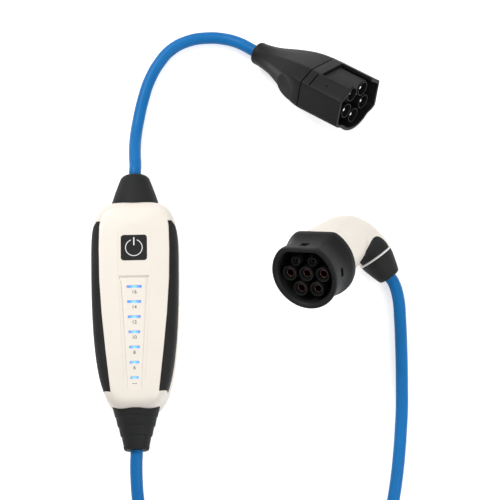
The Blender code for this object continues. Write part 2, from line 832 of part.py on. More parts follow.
def supply_frame():
    """The connector rests on its lower corner and its cable, rolled onto one side."""
    level = math.cos(SUPPLY_PITCH)
    forward = Vector((level * math.cos(SUPPLY_AZIMUTH), level * math.sin(SUPPLY_AZIMUTH), math.sin(SUPPLY_PITCH)))
    side = Vector((-math.sin(SUPPLY_AZIMUTH), math.cos(SUPPLY_AZIMUTH), 0.0))
    over = forward.cross(side)
    up = math.cos(SUPPLY_ROLL) * side + math.sin(SUPPLY_ROLL) * over
    right = up.cross(forward)
    origin = Vector(SUPPLY_TAIL_POINT) + forward * SUPPLY_LENGTH
    return frame("supply_connector_frame", right, up, forward, origin)


def supply_outline():
    """Section of the connector: flat top with chamfers, upright sides and a round belly."""
    half = [
        (SUPPLY_TOP_HALF_WIDTH, SUPPLY_TOP),
        (SUPPLY_HALF_WIDTH - 0.002, SUPPLY_TOP - SUPPLY_CHAMFER_DROP + 0.0008),
        (SUPPLY_HALF_WIDTH, SUPPLY_TOP - SUPPLY_CHAMFER_DROP - 0.0012),
        (SUPPLY_HALF_WIDTH, -SUPPLY_LOWER_CORNER + 0.0015),
        (SUPPLY_HALF_WIDTH - 0.0020, -SUPPLY_LOWER_CORNER - 0.0020),
    ]
    for degrees in (40, 50, 60, 70, 80):
        angle = math.radians(degrees)
        half.append((SUPPLY_BELLY_RADIUS * math.cos(angle), -SUPPLY_BELLY_RADIUS * math.sin(angle)))
    right_side = [Vector(point) for point in half]
    left_side = [Vector((-x, y)) for x, y in reversed(half)]
    bottom = [Vector((0.0, -SUPPLY_BELLY_RADIUS))]
    return list(reversed(right_side + bottom + left_side))


def supply_ring(back, taper=0.0, inset=0.0, top_taper=None):
    """The section a distance back from the rim, drawn in towards the round tail by a share.

    The top has a share of its own, because it reaches its full height nearer the tail than the sides do.
    """
    if top_taper is None:
        top_taper = taper
    ring = []
    for point in supply_outline():
        round_point = point.normalized() * SUPPLY_TAIL_RADIUS
        upward = min(1.0, max(0.0, point.y / (SUPPLY_TOP - SUPPLY_CHAMFER_DROP)))
        place = point.lerp(round_point, taper + (top_taper - taper) * upward)
        reach_y = SUPPLY_TOP if place.y > 0 else SUPPLY_BELLY_RADIUS
        x = place.x * (1 - inset / SUPPLY_HALF_WIDTH)
        y = place.y * (1 - inset / reach_y)
        ring.append(Vector((x, y, -back)))
    return ring


def make_supply_front(parent):
    """The shroud: an open octagonal hood, its top wall cut back over the insulator."""
    rings = [supply_ring(SUPPLY_SEAM - GAP), supply_ring(0.0008), supply_ring(0.0, 0.0, 0.0008)]
    hood = loft("supply_hood", rings, black_plastic(), parent)
    cavity = [supply_ring(SUPPLY_CAVITY_DEPTH, 0.0, SUPPLY_WALL), supply_ring(-0.01, 0.0, SUPPLY_WALL)]
    boolean(hood, loft("supply_cavity", cavity, None, parent))
    notch_width = 2 * SUPPLY_TOP_HALF_WIDTH - 0.002
    low = SUPPLY_TOP - 0.012
    notch = block(notch_width, 0.024, 0.0005, -SUPPLY_NOTCH_DEPTH, 0.01, (0.0, low + 0.012))
    boolean(hood, loft("supply_notch", notch, None, parent))
    return boolean(hood, side_slits(parent))


def side_slits(parent):
    """A narrow latch slit across each upper chamfer, behind the notch."""
    sets = []
    for side in (-1, 1):
        centre = Vector((side * (SUPPLY_HALF_WIDTH + SUPPLY_TOP_HALF_WIDTH) / 2, SUPPLY_TOP - 0.003))
        along = Vector((SUPPLY_HALF_WIDTH - SUPPLY_TOP_HALF_WIDTH, -side * SUPPLY_CHAMFER_DROP)).normalized()
        across = Vector((-along.y, along.x))
        ring = []
        for reach, rise in ((-0.0075, -0.0012), (0.0075, -0.0012), (0.0075, 0.004), (-0.0075, 0.004)):
            ring.append(centre + along * reach + across * rise)
        back = SUPPLY_NOTCH_DEPTH + 0.006
        low = [Vector((p.x, p.y, -back - 0.0012)) for p in ring]
        high = [Vector((p.x, p.y, -back)) for p in ring]
        sets.append([low, high])
    return lofts("supply_slits", sets, None, parent)


def make_supply_rear(parent):
    """The handle: full section at the seam, drawn down to the round tail."""
    stations = (
        (0.0, 1.0, 1.0), (0.008, 1.0, 1.0), (0.020, 0.93, 0.86), (0.032, 0.78, 0.52), (0.043, 0.55, 0.24),
        (0.052, 0.32, 0.09), (0.060, 0.13, 0.03), (0.067, 0.03, 0.0), (SUPPLY_LENGTH - SUPPLY_SEAM, 0.0, 0.0),
    )
    tail = supply_ring(SUPPLY_LENGTH, 1.0, 0.0022)
    rings = [tail] + [supply_ring(SUPPLY_LENGTH - max(0.0018, ahead), side, 0.0004, top) for ahead, side, top in stations]
    return loft("supply_handle", rings, black_plastic(), parent)


def pin_places():
    places = []
    for index in range(PIN_COUNT):
        angle = math.radians(-90.0) + math.tau * index / PIN_COUNT
        places.append((PIN_CIRCLE * math.cos(angle), PIN_CIRCLE * math.sin(angle)))
    return places


def make_supply_insulator(parent):
    """The insulator: a floor that fills the hood, a recessed core, five well tubes and a block over them."""
    floor_inset = SUPPLY_WALL + GAP
    floor = [supply_ring(SUPPLY_CAVITY_DEPTH - GAP, 0.0, floor_inset), supply_ring(INSULATOR_FLOOR, 0.0, floor_inset)]
    core = [supply_ring(INSULATOR_FLOOR + 0.002, 0.0, CORE_INSET), supply_ring(CORE_RECESS, 0.0, CORE_INSET)]
    insulator = loft("supply_insulator", core, black_plastic(), parent)
    boolean(insulator, loft("insulator_floor", floor, None, parent), "UNION")
    outer = WELL_RADIUS + WELL_WALL
    tubes = [rod(outer, -INSULATOR_FLOOR - 0.001, -INSULATOR_RECESS, 20, place) for place in pin_places()]
    boolean(insulator, lofts("well_tubes", tubes, None, parent), "UNION")
    width = BLOCK_RIGHT - BLOCK_LEFT
    height = BLOCK_TOP - PIN_CIRCLE / 2
    centre = ((BLOCK_LEFT + BLOCK_RIGHT) / 2, BLOCK_TOP - height / 2)
    top_block = block(width, height, 0.0008, -SUPPLY_NOTCH_DEPTH + 2 * GAP, -INSULATOR_RECESS - 0.0010, centre)
    boolean(insulator, loft("insulator_block", top_block, None, parent), "UNION")
    well_floor = -INSULATOR_RECESS - WELL_DEPTH
    wells = [rod(WELL_RADIUS, well_floor, 0.005, 20, place) for place in pin_places()]
    boolean(insulator, lofts("wells", wells, None, parent))
    seats = [rod(PIN_RADIUS + GAP, -SUPPLY_CAVITY_DEPTH + 0.001, 0.005, 12, place) for place in pin_places()]
    return boolean(insulator, lofts("pin_seats", seats, None, parent))


def make_supply_pin(index, place, parent):
    foot = -SUPPLY_CAVITY_DEPTH + 0.001 + GAP
    tip = -PIN_RECESS
    rings = [
        circle(PIN_RADIUS, foot, 12, place), circle(PIN_RADIUS, tip - 0.0020, 12, place),
        circle(PIN_RADIUS * 0.85, tip - 0.0008, 12, place), circle(PIN_RADIUS * 0.45, tip, 12, place),
    ]
    return loft("supply_pin_%d" % (index + 1), rings, pin_metal(), parent)


def make_supply_connector():
    parent = supply_frame()
    make_supply_front(parent)
    make_supply_rear(parent)
    make_supply_insulator(parent)
    for index, place in enumerate(pin_places()):
        make_supply_pin(index, place, parent)
    return parent


# Vehicle connector

def exit_direction():
    """Way out of the elbow in the connector's own frame, turned from straight down by its roll."""
    return Vector((math.sin(ELBOW_ROLL), -math.cos(ELBOW_ROLL), 0.0))


def vehicle_frame():
    """The connector rests on its elbow, nose up, with its cable running out along the surface."""
    level = math.cos(VEHICLE_NOSE_ELEVATION)
    rise = math.sin(VEHICLE_NOSE_ELEVATION)
    forward = Vector((level * math.cos(VEHICLE_NOSE_AZIMUTH), level * math.sin(VEHICLE_NOSE_AZIMUTH), rise))
    exit_level = math.cos(VEHICLE_EXIT_DROP)
    turn = math.acos(rise * math.sin(VEHICLE_EXIT_DROP) / (level * exit_level))
    exit_azimuth = VEHICLE_NOSE_AZIMUTH + turn
    outward = Vector((exit_level * math.cos(exit_azimuth), exit_level * math.sin(exit_azimuth),
                      -math.sin(VEHICLE_EXIT_DROP)))
    across = (-outward).cross(forward)
    right = math.sin(ELBOW_ROLL) * outward + math.cos(ELBOW_ROLL) * across
    up = forward.cross(right)
    out_length = ELBOW_BEND_RADIUS + ELBOW_EXIT + RING_THICKNESS + 2 * GAP + CONE_LENGTH
    back_length = NOSE_LENGTH + ELBOW_STRAIGHT + ELBOW_BEND_RADIUS
    origin = Vector(VEHICLE_CONE_END) - outward * out_length + forward * back_length
    return frame("vehicle_connector_frame", right, up, forward, origin)


def nose_ring(radius, back, segments=36):
    """A circle with a flat top, a distance back from the rim."""
    flat = radius * NOSE_FLAT_SHARE
    return [Vector((point.x, min(point.y, flat), -back)) for point in circle(radius, 0.0, segments)]


def make_nose(parent):
    """The shroud: a flat-topped hood with a waist and a rear flange, and its latch holes."""
    rings = [
        nose_ring(NOSE_FLANGE_RADIUS - 0.0010, NOSE_LENGTH), nose_ring(NOSE_FLANGE_RADIUS, NOSE_LENGTH - 0.0015),
        nose_ring(NOSE_FLANGE_RADIUS, 0.0340), nose_ring(NOSE_WAIST_RADIUS + 0.0022, 0.0285),
        nose_ring(NOSE_WAIST_RADIUS, 0.0210), nose_ring(NOSE_WAIST_RADIUS + 0.0005, 0.0120),
        nose_ring(NOSE_RADIUS, 0.0020), nose_ring(NOSE_RADIUS - 0.0015, 0.0),
    ]
    nose = loft("vehicle_nose", rings, black_plastic(), parent)
    bore = NOSE_RADIUS - NOSE_WALL
    cavity = [nose_ring(bore, NOSE_FLOOR), nose_ring(bore, 0.0015), nose_ring(bore + 0.0030, -0.0015)]
    boolean(nose, loft("nose_cavity", cavity, None, parent))
    half = LATCH_HOLE / 2
    low = -LATCH_DEPTH - half
    top_hole = block(LATCH_HOLE, 0.012, 0.001, low, low + LATCH_HOLE, (0.0, NOSE_RADIUS * NOSE_FLAT_SHARE))
    sides = []
    for side in (-1, 1):
        centre = (side * NOSE_RADIUS, -0.0020)
        sides.append(block(0.014, 0.009, 0.001, low - 0.003, low + 0.002, centre))
    return boolean(nose, lofts("latch_holes", [top_hole] + sides, None, parent))


def contact_places():
    """Name, place and whether it is a small signal contact, for all seven."""
    row = CONTACT_PITCH
    lower = -CONTACT_PITCH * math.sin(math.radians(60.0))
    return (
        ("contact_earth", (0.0, 0.0), False), ("contact_neutral", (-row, 0.0), False),
        ("contact_line_1", (row, 0.0), False), ("contact_line_2", (row / 2, lower), False),
        ("contact_line_3", (-row / 2, lower), False),
        ("contact_pilot", (-row / 2, SIGNAL_CONTACT_RISE), True),
        ("contact_proximity", (row / 2, SIGNAL_CONTACT_RISE), True),
    )


def contact_sides(small):
    return 12 if small else 18


def make_carrier(parent):
    """The contact carrier: a flat-topped base with one hollow tower for each contact."""
    base_radius = NOSE_RADIUS - NOSE_WALL - GAP
    base_top = NOSE_FLOOR - GAP - CARRIER_BASE
    base = [nose_ring(base_radius, NOSE_FLOOR - GAP), nose_ring(base_radius, base_top)]
    carrier = loft("contact_carrier", base, black_plastic(), parent)
    towers = []
    bores = []
    for name, place, small in contact_places():
        radius = SMALL_TOWER_RADIUS if small else TOWER_RADIUS
        socket = SMALL_SOCKET_RADIUS if small else SOCKET_RADIUS
        sides = contact_sides(small)
        towers.append(rod(radius, -base_top - 0.002, -TOWER_RECESS, sides, place))
        floor = -TOWER_RECESS - SOCKET_RECESS - SOCKET_LENGTH - GAP
        bores.append(rod(socket + GAP, floor, 0.005, sides, place))
    boolean(carrier, lofts("towers", towers, None, parent), "UNION")
    return boolean(carrier, lofts("tower_bores", bores, None, parent))


def make_contact(name, place, small, parent):
    """A socket: a tube closed at its foot."""
    radius = SMALL_SOCKET_RADIUS if small else SOCKET_RADIUS
    bore = SMALL_SOCKET_BORE if small else SOCKET_BORE
    top = -TOWER_RECESS - SOCKET_RECESS
    foot = top - SOCKET_LENGTH
    sides = contact_sides(small)
    contact = loft(name, rod(radius, foot, top, sides, place), contact_copper(), parent)
    return boolean(contact, loft(name + "_bore", rod(bore, foot + 0.002, top + 0.002, sides, place), None, parent))


def elbow_stations():
    """Centre, direction and radius along the elbow, from the flange to the ring."""
    outward = exit_direction()
    back = Vector((0.0, 0.0, -1.0))
    stations = []
    for share in (0.0, 0.12, 0.5, 1.0):
        radius = ELBOW_START_RADIUS + (ELBOW_BEND_START_RADIUS - ELBOW_START_RADIUS) * share ** 0.8
        centre = back * (NOSE_LENGTH + GAP + (ELBOW_STRAIGHT - GAP) * share)
        stations.append((centre, back, radius))
    bend_start = back * (NOSE_LENGTH + ELBOW_STRAIGHT)
    steps = 7
    for step in range(1, steps + 1):
        angle = math.pi / 2 * step / steps
        way = back * math.sin(angle) + outward * (1 - math.cos(angle))
        direction = back * math.cos(angle) + outward * math.sin(angle)
        ease = math.sin(angle) ** 0.9
        radius = ELBOW_BEND_START_RADIUS + (ELBOW_END_RADIUS + 0.0008 - ELBOW_BEND_START_RADIUS) * ease
        stations.append((bend_start + way * ELBOW_BEND_RADIUS, direction, radius))
    end = bend_start + (back + outward) * ELBOW_BEND_RADIUS + outward * ELBOW_EXIT
    stations.append((end, outward, ELBOW_END_RADIUS))
    return stations


def elbow_solid(name, inset, paint, parent):
    outward = exit_direction()
    across = Vector((0.0, 0.0, -1.0)).cross(outward)
    rings = []
    segments = 28
    stations = elbow_stations()
    for order, (centre, direction, radius) in enumerate(stations):
        normal = across.cross(direction)
        flatten = max(0.0, 1.0 - order / 5)
        ring = []
        for index in range(segments):
            angle = math.tau * index / segments
            spoke = across * math.cos(angle) + normal * math.sin(angle)
            reach = (radius - inset) * spoke
            limit = radius * (NOSE_FLAT_SHARE * flatten + (1 - flatten)) - inset
            reach.y = min(reach.y, limit)
            ring.append(centre + reach)
        rings.append(ring)
    return loft(name, rings, paint, parent)


def ring_centre():
    return Vector((0.0, 0.0, -NOSE_LENGTH - ELBOW_STRAIGHT - ELBOW_BEND_RADIUS)) + exit_direction() * (
        ELBOW_BEND_RADIUS + ELBOW_EXIT)


def tongue_region(grow):
    """Plan of the soft tongue, seen along the nose axis, from the ring up the elbow."""
    outward = exit_direction()
    across = Vector((outward.y, -outward.x, 0.0))
    outline = [(-0.88, 0.04), (-0.90, 0.16), (-0.84, 0.36), (-0.68, 0.62), (-0.40, 0.88), (0.0, 1.0),
               (0.40, 0.88), (0.68, 0.62), (0.84, 0.36), (0.90, 0.16), (0.88, 0.04)]
    centre = ring_centre()
    points = []
    for share_across, share_up in outline:
        sideways = across * share_across * ELBOW_END_RADIUS
        points.append(centre + sideways - outward * share_up * TONGUE_LENGTH)
    flat = inset_ring([Vector((p.x, p.y)) for p in points], grow)
    low = centre.z + 0.003 + grow
    high = -NOSE_LENGTH - 0.010
    return [[Vector((p.x, p.y, height)) for p in flat] for height in (low, high)]


def make_elbow(parent):
    elbow = elbow_solid("vehicle_elbow", 0.0, cream_plastic(), parent)
    boolean(elbow, spigot_rod("elbow_socket", GAP, parent))
    pocket = loft("tongue_pocket", tongue_region(-GAP), None, parent)
    boolean(pocket, elbow_solid("tongue_pocket_floor", TONGUE_DEPTH + GAP, None, parent))
    return boolean(elbow, pocket)


def make_tongue(parent):
    tongue = loft("grip_tongue", tongue_region(0.0), black_rubber(), parent)
    boolean(tongue, elbow_solid("tongue_outside", 0.0, None, parent), "INTERSECT")
    return boolean(tongue, elbow_solid("tongue_inside", TONGUE_DEPTH, None, parent))


def exit_frame_rings(stack):
    """Place rings stacked up Z on the elbow's way out, from the ring's seat."""
    outward = exit_direction()
    across = Vector((outward.y, -outward.x, 0.0))
    depth = across.cross(outward)
    centre = ring_centre()
    return [[centre + across * p.x + depth * p.y + outward * p.z for p in ring] for ring in stack]


def spigot_rod(name, grow, parent):
    rings = rod(SPIGOT_RADIUS + grow, -SPIGOT_LENGTH - grow, 0.004, 20)
    return loft(name, exit_frame_rings(rings), None, parent)


def make_trim_ring(parent):
    low = GAP
    high = GAP + RING_THICKNESS
    edge = ELBOW_END_RADIUS + 0.0004
    rings = [
        circle(edge - 0.0003, low, 28), circle(edge, low + 0.0003, 28),
        circle(edge, high - 0.0003, 28), circle(edge - 0.0003, high, 28),
    ]
    ring = loft("trim_ring", exit_frame_rings(rings), ring_silver(), parent)
    hole = rod(SPIGOT_RADIUS + GAP, -0.002, high + 0.002, 20)
    return boolean(ring, loft("trim_ring_hole", exit_frame_rings(hole), None, parent))


def make_cone(parent):
    """The tapered strain relief, with a spigot through the ring into the elbow."""
    low = RING_THICKNESS + 2 * GAP
    shape = ((0.0, 0.0180), (0.20, 0.0168), (0.42, 0.0146), (0.66, 0.0122), (0.84, 0.0108), (0.95, 0.0098))
    rings = [circle(SPIGOT_RADIUS, -SPIGOT_LENGTH, 24), circle(SPIGOT_RADIUS, low, 24)]
    rings += [circle(radius, low + share * CONE_LENGTH, 24) for share, radius in shape]
    rings.append(circle(CONE_END_RADIUS - 0.0012, low + CONE_LENGTH, 24))
    return loft("vehicle_strain_relief", exit_frame_rings(rings), black_rubber(), parent)


def make_vehicle_connector():
    parent = vehicle_frame()
    make_nose(parent)
    make_carrier(parent)
    for name, place, small in contact_places():
        make_contact(name, place, small, parent)
    make_elbow(parent)
    make_tongue(parent)
    make_trim_ring(parent)
    make_cone(parent)
    return parent


# Cables

def smooth_route(points):
    """Even points on a smooth curve through the chosen places, with both end stubs kept straight."""
    places = [Vector(point) for point in points]
    last = len(places) - 2
    fine = []
    for index in range(1, last):
        before = places[index - 1]
        start = places[index]
        end = places[index + 1]
        after = places[index + 2]
        for step in range(16):
            share = step / 16
            bend = (end - before) * share + (2 * before - 5 * start + 4 * end - after) * share ** 2
            turn = (3 * start - before - 3 * end + after) * share ** 3
            fine.append(start + (bend + turn) / 2)
    fine.append(places[last])
    return [places[0]] + spaced(fine, CABLE_POINT_SPACING) + [places[-1]]


def spaced(fine, spacing):
    lengths = [(b - a).length for a, b in zip(fine, fine[1:])]
    total = sum(lengths)
    count = max(2, round(total / spacing))
    even = [fine[0]]
    travelled = 0.0
    target = total / count
    for start, end, length in zip(fine, fine[1:], lengths):
        while travelled + length >= target - 1e-9 and len(even) < count:
            even.append(start.lerp(end, (target - travelled) / length))
            target += total / count
        travelled += length
    even.append(fine[-1])
    return even


def make_cable(name, points):
    curve = bpy.data.curves.new(name, "CURVE")
    curve.dimensions = "3D"
    curve.bevel_depth = CABLE_RADIUS
    curve.bevel_resolution = 3
    curve.use_fill_caps = True
    curve.render_resolution_u = 0
    curve.materials.append(cable_blue())
    spline = curve.splines.new("POLY")
    route = smooth_route(points)
    spline.points.add(len(route) - 1)
    for place, point in zip(route, spline.points):
        point.co = (*place, 1.0)
    cable = bpy.data.objects.new(name, curve)
    PARTS.objects.link(cable)
    return cable


def start_stub(end_point, direction, length):
    """The end of a cable, face to face with what it comes out of, and its straight start."""
    start = Vector(end_point) + Vector(direction) * GAP
    return [start, start + Vector(direction) * length]


def coil_stub(side):
    """The end of a cable beside the coil, where it joins the coil's outer turn, and its straight start."""
    reach = COIL_MEAN_RADIUS + COIL_RING_WIDTH / 2 + GAP + CABLE_RADIUS - COIL_EDGE_NEARER
    end = Vector((COIL_CENTRE[0] + side * reach, COIL_CENTRE[1], COIL_LEAD_HEIGHT))
    return [end, end + Vector((0.0, EXIT_STUB, 0.0))]


def make_cables(supply, vehicle):
    """Lay the supply lead and both laid-out stretches of the charging cable."""
    box_top = (0.0, SHELL_TOP_Y + UPPER_RELIEF_REACH, SPLIT_HEIGHT)
    box_bottom = (0.0, SHELL_BOTTOM_Y - LOWER_RELIEF_REACH, SPLIT_HEIGHT)
    tail_way = supply.matrix_world.to_3x3() @ Vector((0.0, 0.0, -1.0))
    cone_way = vehicle.matrix_world.to_3x3() @ exit_direction()
    lead_start = start_stub(box_top, (0.0, 1.0, 0.0), EXIT_STUB)
    lead_end = start_stub(SUPPLY_TAIL_POINT, tail_way, EXIT_STUB)
    make_cable("supply_lead", lead_start + list(SUPPLY_LEAD_ROUTE) + lead_end[::-1])
    box_start = start_stub(box_bottom, (0.0, -1.0, 0.0), EXIT_STUB)
    box_end = coil_stub(-1)
    make_cable("charging_cable_box_side", box_start + list(BOX_SIDE_ROUTE) + box_end[::-1])
    plug_start = start_stub(VEHICLE_CONE_END, cone_way, EXIT_STUB)
    plug_end = coil_stub(1)
    make_cable("charging_cable_plug_side", plug_start + list(PLUG_SIDE_ROUTE) + plug_end[::-1])


def coil_profile(grow_out, grow_up, steps=3):
    """Section of the coil about its middle line, as (outward, up) going down the outer side."""
    half = COIL_RING_WIDTH / 2 + grow_out
    top = COIL_HEIGHT / 2 + grow_up
    corner = COIL_CORNER + grow_up
    points = []
    for quadrant, (side_x, side_y) in enumerate(((1, 1), (1, -1), (-1, -1), (-1, 1))):
        for step in range(steps + 1):
            angle = math.pi / 2 * (1 - quadrant - step / steps)
            out = side_x * (half - corner) + corner * math.cos(angle)
            up = side_y * (top - corner) + corner * math.sin(angle)
            points.append((out, up))
    return points


def make_coil():
    profile = [(COIL_MEAN_RADIUS + out, up) for out, up in coil_profile(0.0, 0.0)]
    coil = turned("charging_cable_coil", profile + profile[:1], cable_blue(), None, 36)
    coil.location = (*COIL_CENTRE, coil_middle())
    return coil


def coil_middle():
    """Height of the middle of the coil, which lies on its straps."""
    return STRAP_THICKNESS + GAP + COIL_HEIGHT / 2


def strap_rings(angle, grow_out, grow_up, half_width):
    """A short length of the coil's section round its middle line, straight across."""
    outward = Vector((math.cos(angle), math.sin(angle), 0.0))
    along = Vector((-math.sin(angle), math.cos(angle), 0.0))
    centre = Vector((*COIL_CENTRE, coil_middle())) + outward * COIL_MEAN_RADIUS
    rings = []
    for shift in (-half_width, half_width):
        ring = []
        for out, up in coil_profile(grow_out, grow_up):
            ring.append(centre + along * shift + outward * out + Vector((0.0, 0.0, up)))
        rings.append(ring)
    return rings


def make_strap(index, angle):
    """A hook and loop strap that ties the coil."""
    inner_radius = COIL_MEAN_RADIUS - COIL_RING_WIDTH / 2
    clearance = GAP + inner_radius - math.sqrt(inner_radius ** 2 - (STRAP_WIDTH / 2) ** 2)
    outside = strap_rings(angle, clearance + STRAP_THICKNESS, GAP + STRAP_THICKNESS, STRAP_WIDTH / 2)
    strap = loft("coil_strap_%d" % (index + 1), outside, black_rubber())
    inside = strap_rings(angle, clearance, GAP, STRAP_WIDTH)
    return boolean(strap, loft("strap_%d_inside" % (index + 1), inside, None))


make_control_box()
SUPPLY = make_supply_connector()
VEHICLE = make_vehicle_connector()
bpy.context.view_layer.update()
make_cables(SUPPLY, VEHICLE)
make_coil()
for strap_index, strap_angle in enumerate(STRAP_ANGLES):
    make_strap(strap_index, strap_angle)
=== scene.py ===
import json
import math

import bmesh
import bpy
from mathutils import Matrix, Vector


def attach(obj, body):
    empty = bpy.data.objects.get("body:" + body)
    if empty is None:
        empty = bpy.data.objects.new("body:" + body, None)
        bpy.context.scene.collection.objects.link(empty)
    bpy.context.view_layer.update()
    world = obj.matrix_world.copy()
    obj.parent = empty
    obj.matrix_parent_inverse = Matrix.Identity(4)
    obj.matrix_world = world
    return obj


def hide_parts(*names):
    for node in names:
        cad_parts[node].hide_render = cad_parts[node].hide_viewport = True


# Clearance between separate pieces, as in the solids
GAP = 0.0003

# Camera: how far it leans from straight above, and the photograph's framing
CAMERA_TILT = math.radians(14.0)
CAMERA_ROLL = math.radians(-1.08)
CAMERA_DISTANCE = 2.2
CAMERA_TARGET = (0.1165, 0.0615, 0.030)
CAMERA_FOCAL_PIXELS = 2163.0
IMAGE_PIXELS = 500.0
SENSOR = 36.0

# Light
WORLD_STRENGTH = 0.46
KEY_POWER = 21.5
KEY_SIZE = 0.9
KEY_PLACE = (-0.7, 1.1, 1.4)
FILL_POWER = 9.0
FILL_SIZE = 1.0
FILL_PLACE = (1.1, -0.6, 1.0)
LIGHT_TARGET = (0.10, 0.05, 0.0)
FLOOR_COLOUR = (0.86, 0.86, 0.86)
FLOOR_REACH = 6.0
FLOOR_DROP = 0.0004
FLOOR_GLOW = 0.58

# Materials: shine of the dark ones, broad drift of tone, the used middle of a noise, soft edge samples
DARK_SPECULAR = 0.16
DRIFT_SCALE = 38.0
NOISE_MIDDLE = (0.3, 0.7)
BEVEL_SAMPLES = 6

# Control box, as in the solids
SHELL_HALF_WIDTH = 0.0440
SHELL_UPPER_LENGTH = 0.0573
SHELL_LOWER_LENGTH = 0.1549
SHELL_UPPER_POWERS = (3.0, 4.3)
SHELL_LOWER_POWERS = (2.4, 4.2)
BOX_HEIGHT = 0.0600
WALL = 0.0036
BACK_EDGE = 0.0070
FRONT_EDGE_INSET = 0.0120
FRONT_EDGE_DEPTH = 0.0130
CROWN = 0.0015
SPLIT_HEIGHT = 0.0300
SEAL_THICKNESS = 0.0008
UPPER_RELIEF_REACH = 0.0325
LOWER_RELIEF_REACH = 0.0389
RELIEF_NECK_RADIUS = 0.0090
RELIEF_FLATNESS = 0.85
GRIP_DEPTH = 0.0018
GRIP_TOP_REACH = 0.0350
GRIP_BOTTOM_REACH = 0.1385
GRIP_LOWER_EDGE = 0.0325
BAND_HALF_WIDTH = 0.0162
BAND_END_HALF_WIDTH = 0.0095
BAND_SINK = 0.0006
BADGE_SIZE = 0.0258
BADGE_CORNER = 0.0030
BADGE_THICKNESS = 0.0012
BADGE_ABOVE_WIDEST = 0.0070
CHANNEL_HALF_WIDTH = 0.0130
CHANNEL_END_HALF_WIDTH = 0.0065
CHANNEL_DEPTH = 0.0018
CHANNEL_END_DEPTH = 0.0003
CHANNEL_START = 0.0232
CHANNEL_LENGTH = 0.1145
CHANNEL_LIP = 0.0014
CHANNEL_LIP_SPREAD = 0.0012
LIGHT_COUNT = 7
LIGHT_PITCH = 0.01545
LIGHT_START = 0.0328
LIGHT_FIRST_WIDTH = 0.0144
LIGHT_LAST_WIDTH = 0.0074
LIGHT_HEIGHT = 0.0020
BOSS_RADIUS = 0.0042
BOSS_CLEARANCE = 0.0008
SCREW_RADIUS = 0.0014
SCREW_HEAD_RADIUS = 0.0028
SCREW_LENGTH = 0.0360
COUNTERBORE_DEPTH = 0.0060
UPPER_BOSS = (0.0335, 0.0150)
LOWER_BOSS = (0.0265, -0.1190)
SHELL_WIDEST_Y = (SHELL_LOWER_LENGTH + LOWER_RELIEF_REACH - SHELL_UPPER_LENGTH - UPPER_RELIEF_REACH) / 2
SHELL_TOP_Y = SHELL_WIDEST_Y + SHELL_UPPER_LENGTH
SHELL_BOTTOM_Y = SHELL_WIDEST_Y - SHELL_LOWER_LENGTH
FACE_HEIGHT = BOX_HEIGHT - BAND_SINK
CHANNEL_START_Y = SHELL_WIDEST_Y - CHANNEL_START
CHANNEL_END_Y = CHANNEL_START_Y - CHANNEL_LENGTH
BADGE_Y = SHELL_WIDEST_Y + BADGE_ABOVE_WIDEST
ABOVE_BOX = BOX_HEIGHT + 0.01
LEDGES = 3
LEDGE_PITCH = 0.0098

# Print on the control box
MARK_THICKNESS = 0.00012
MARK_RADIUS = 0.0088
MARK_LINE = 0.0008
LABELS = ("16", "14", "12", "10", "8", "6", "---")
LABEL_SIZE = 0.0050
LABEL_DROP = 0.0056

# How finely the shapes are made
OUTLINE_POINTS = 128
EDGE_STEPS = 10
CROWN_STEPS = 6
CROWN_SHARE = 0.96
CROWN_MARGIN = 0.030
ROUND_STEPS = 64
NOSE_STEPS = 120
ELBOW_STEPS = 20
NOSE_SOFTNESS = 0.0010

# Cable
CABLE_DIAMETER = 0.0125
EXIT_STUB = 0.0050
CABLE_RUN_IN = 0.0100

# Supply connector, as in the solids
SUPPLY_LENGTH = 0.1320
SUPPLY_HALF_WIDTH = 0.0350
SUPPLY_TOP = 0.0235
SUPPLY_TOP_HALF_WIDTH = 0.0190
SUPPLY_CHAMFER_DROP = 0.0090
SUPPLY_LOWER_CORNER = 0.0145
SUPPLY_BELLY_RADIUS = 0.0305
SUPPLY_TAIL_RADIUS = 0.0122
SUPPLY_WALL = 0.0034
SUPPLY_CAVITY_DEPTH = 0.0420
SUPPLY_SEAM = 0.0500
SUPPLY_NOTCH_DEPTH = 0.0380
PIN_COUNT = 5
PIN_CIRCLE = 0.0155
PIN_RADIUS = 0.0026
PIN_RECESS = 0.0060
WELL_RADIUS = 0.0069
WELL_WALL = 0.0009
WELL_DEPTH = 0.0290
INSULATOR_RECESS = 0.0035
INSULATOR_FLOOR = 0.0360
CORE_INSET = 0.0082
CORE_RECESS = 0.0180
BLOCK_LEFT = -0.0172
BLOCK_RIGHT = 0.0138
BLOCK_TOP = 0.0208
SUPPLY_SIDE_STEP = 0.0030
SUPPLY_CORNER = 0.0018
SLIT_HALF = 0.0080
SLIT_WIDTH = 0.0014
SLIT_DEPTH = 0.0016
PEEP_RADIUS = 0.0009
PEEP_BACK = 0.024
PIN_TIP = 0.0020
PIN_SEAT = 0.001
PANEL_HALF = 0.0140
PANEL_LEAN = 0.15
SUPPLY_TAIL_POINT = (0.1283, 0.2785, 0.0145)
SUPPLY_AZIMUTH = math.radians(-35.5)
SUPPLY_PITCH = math.radians(19.5)
SUPPLY_ROLL = math.radians(51.0)

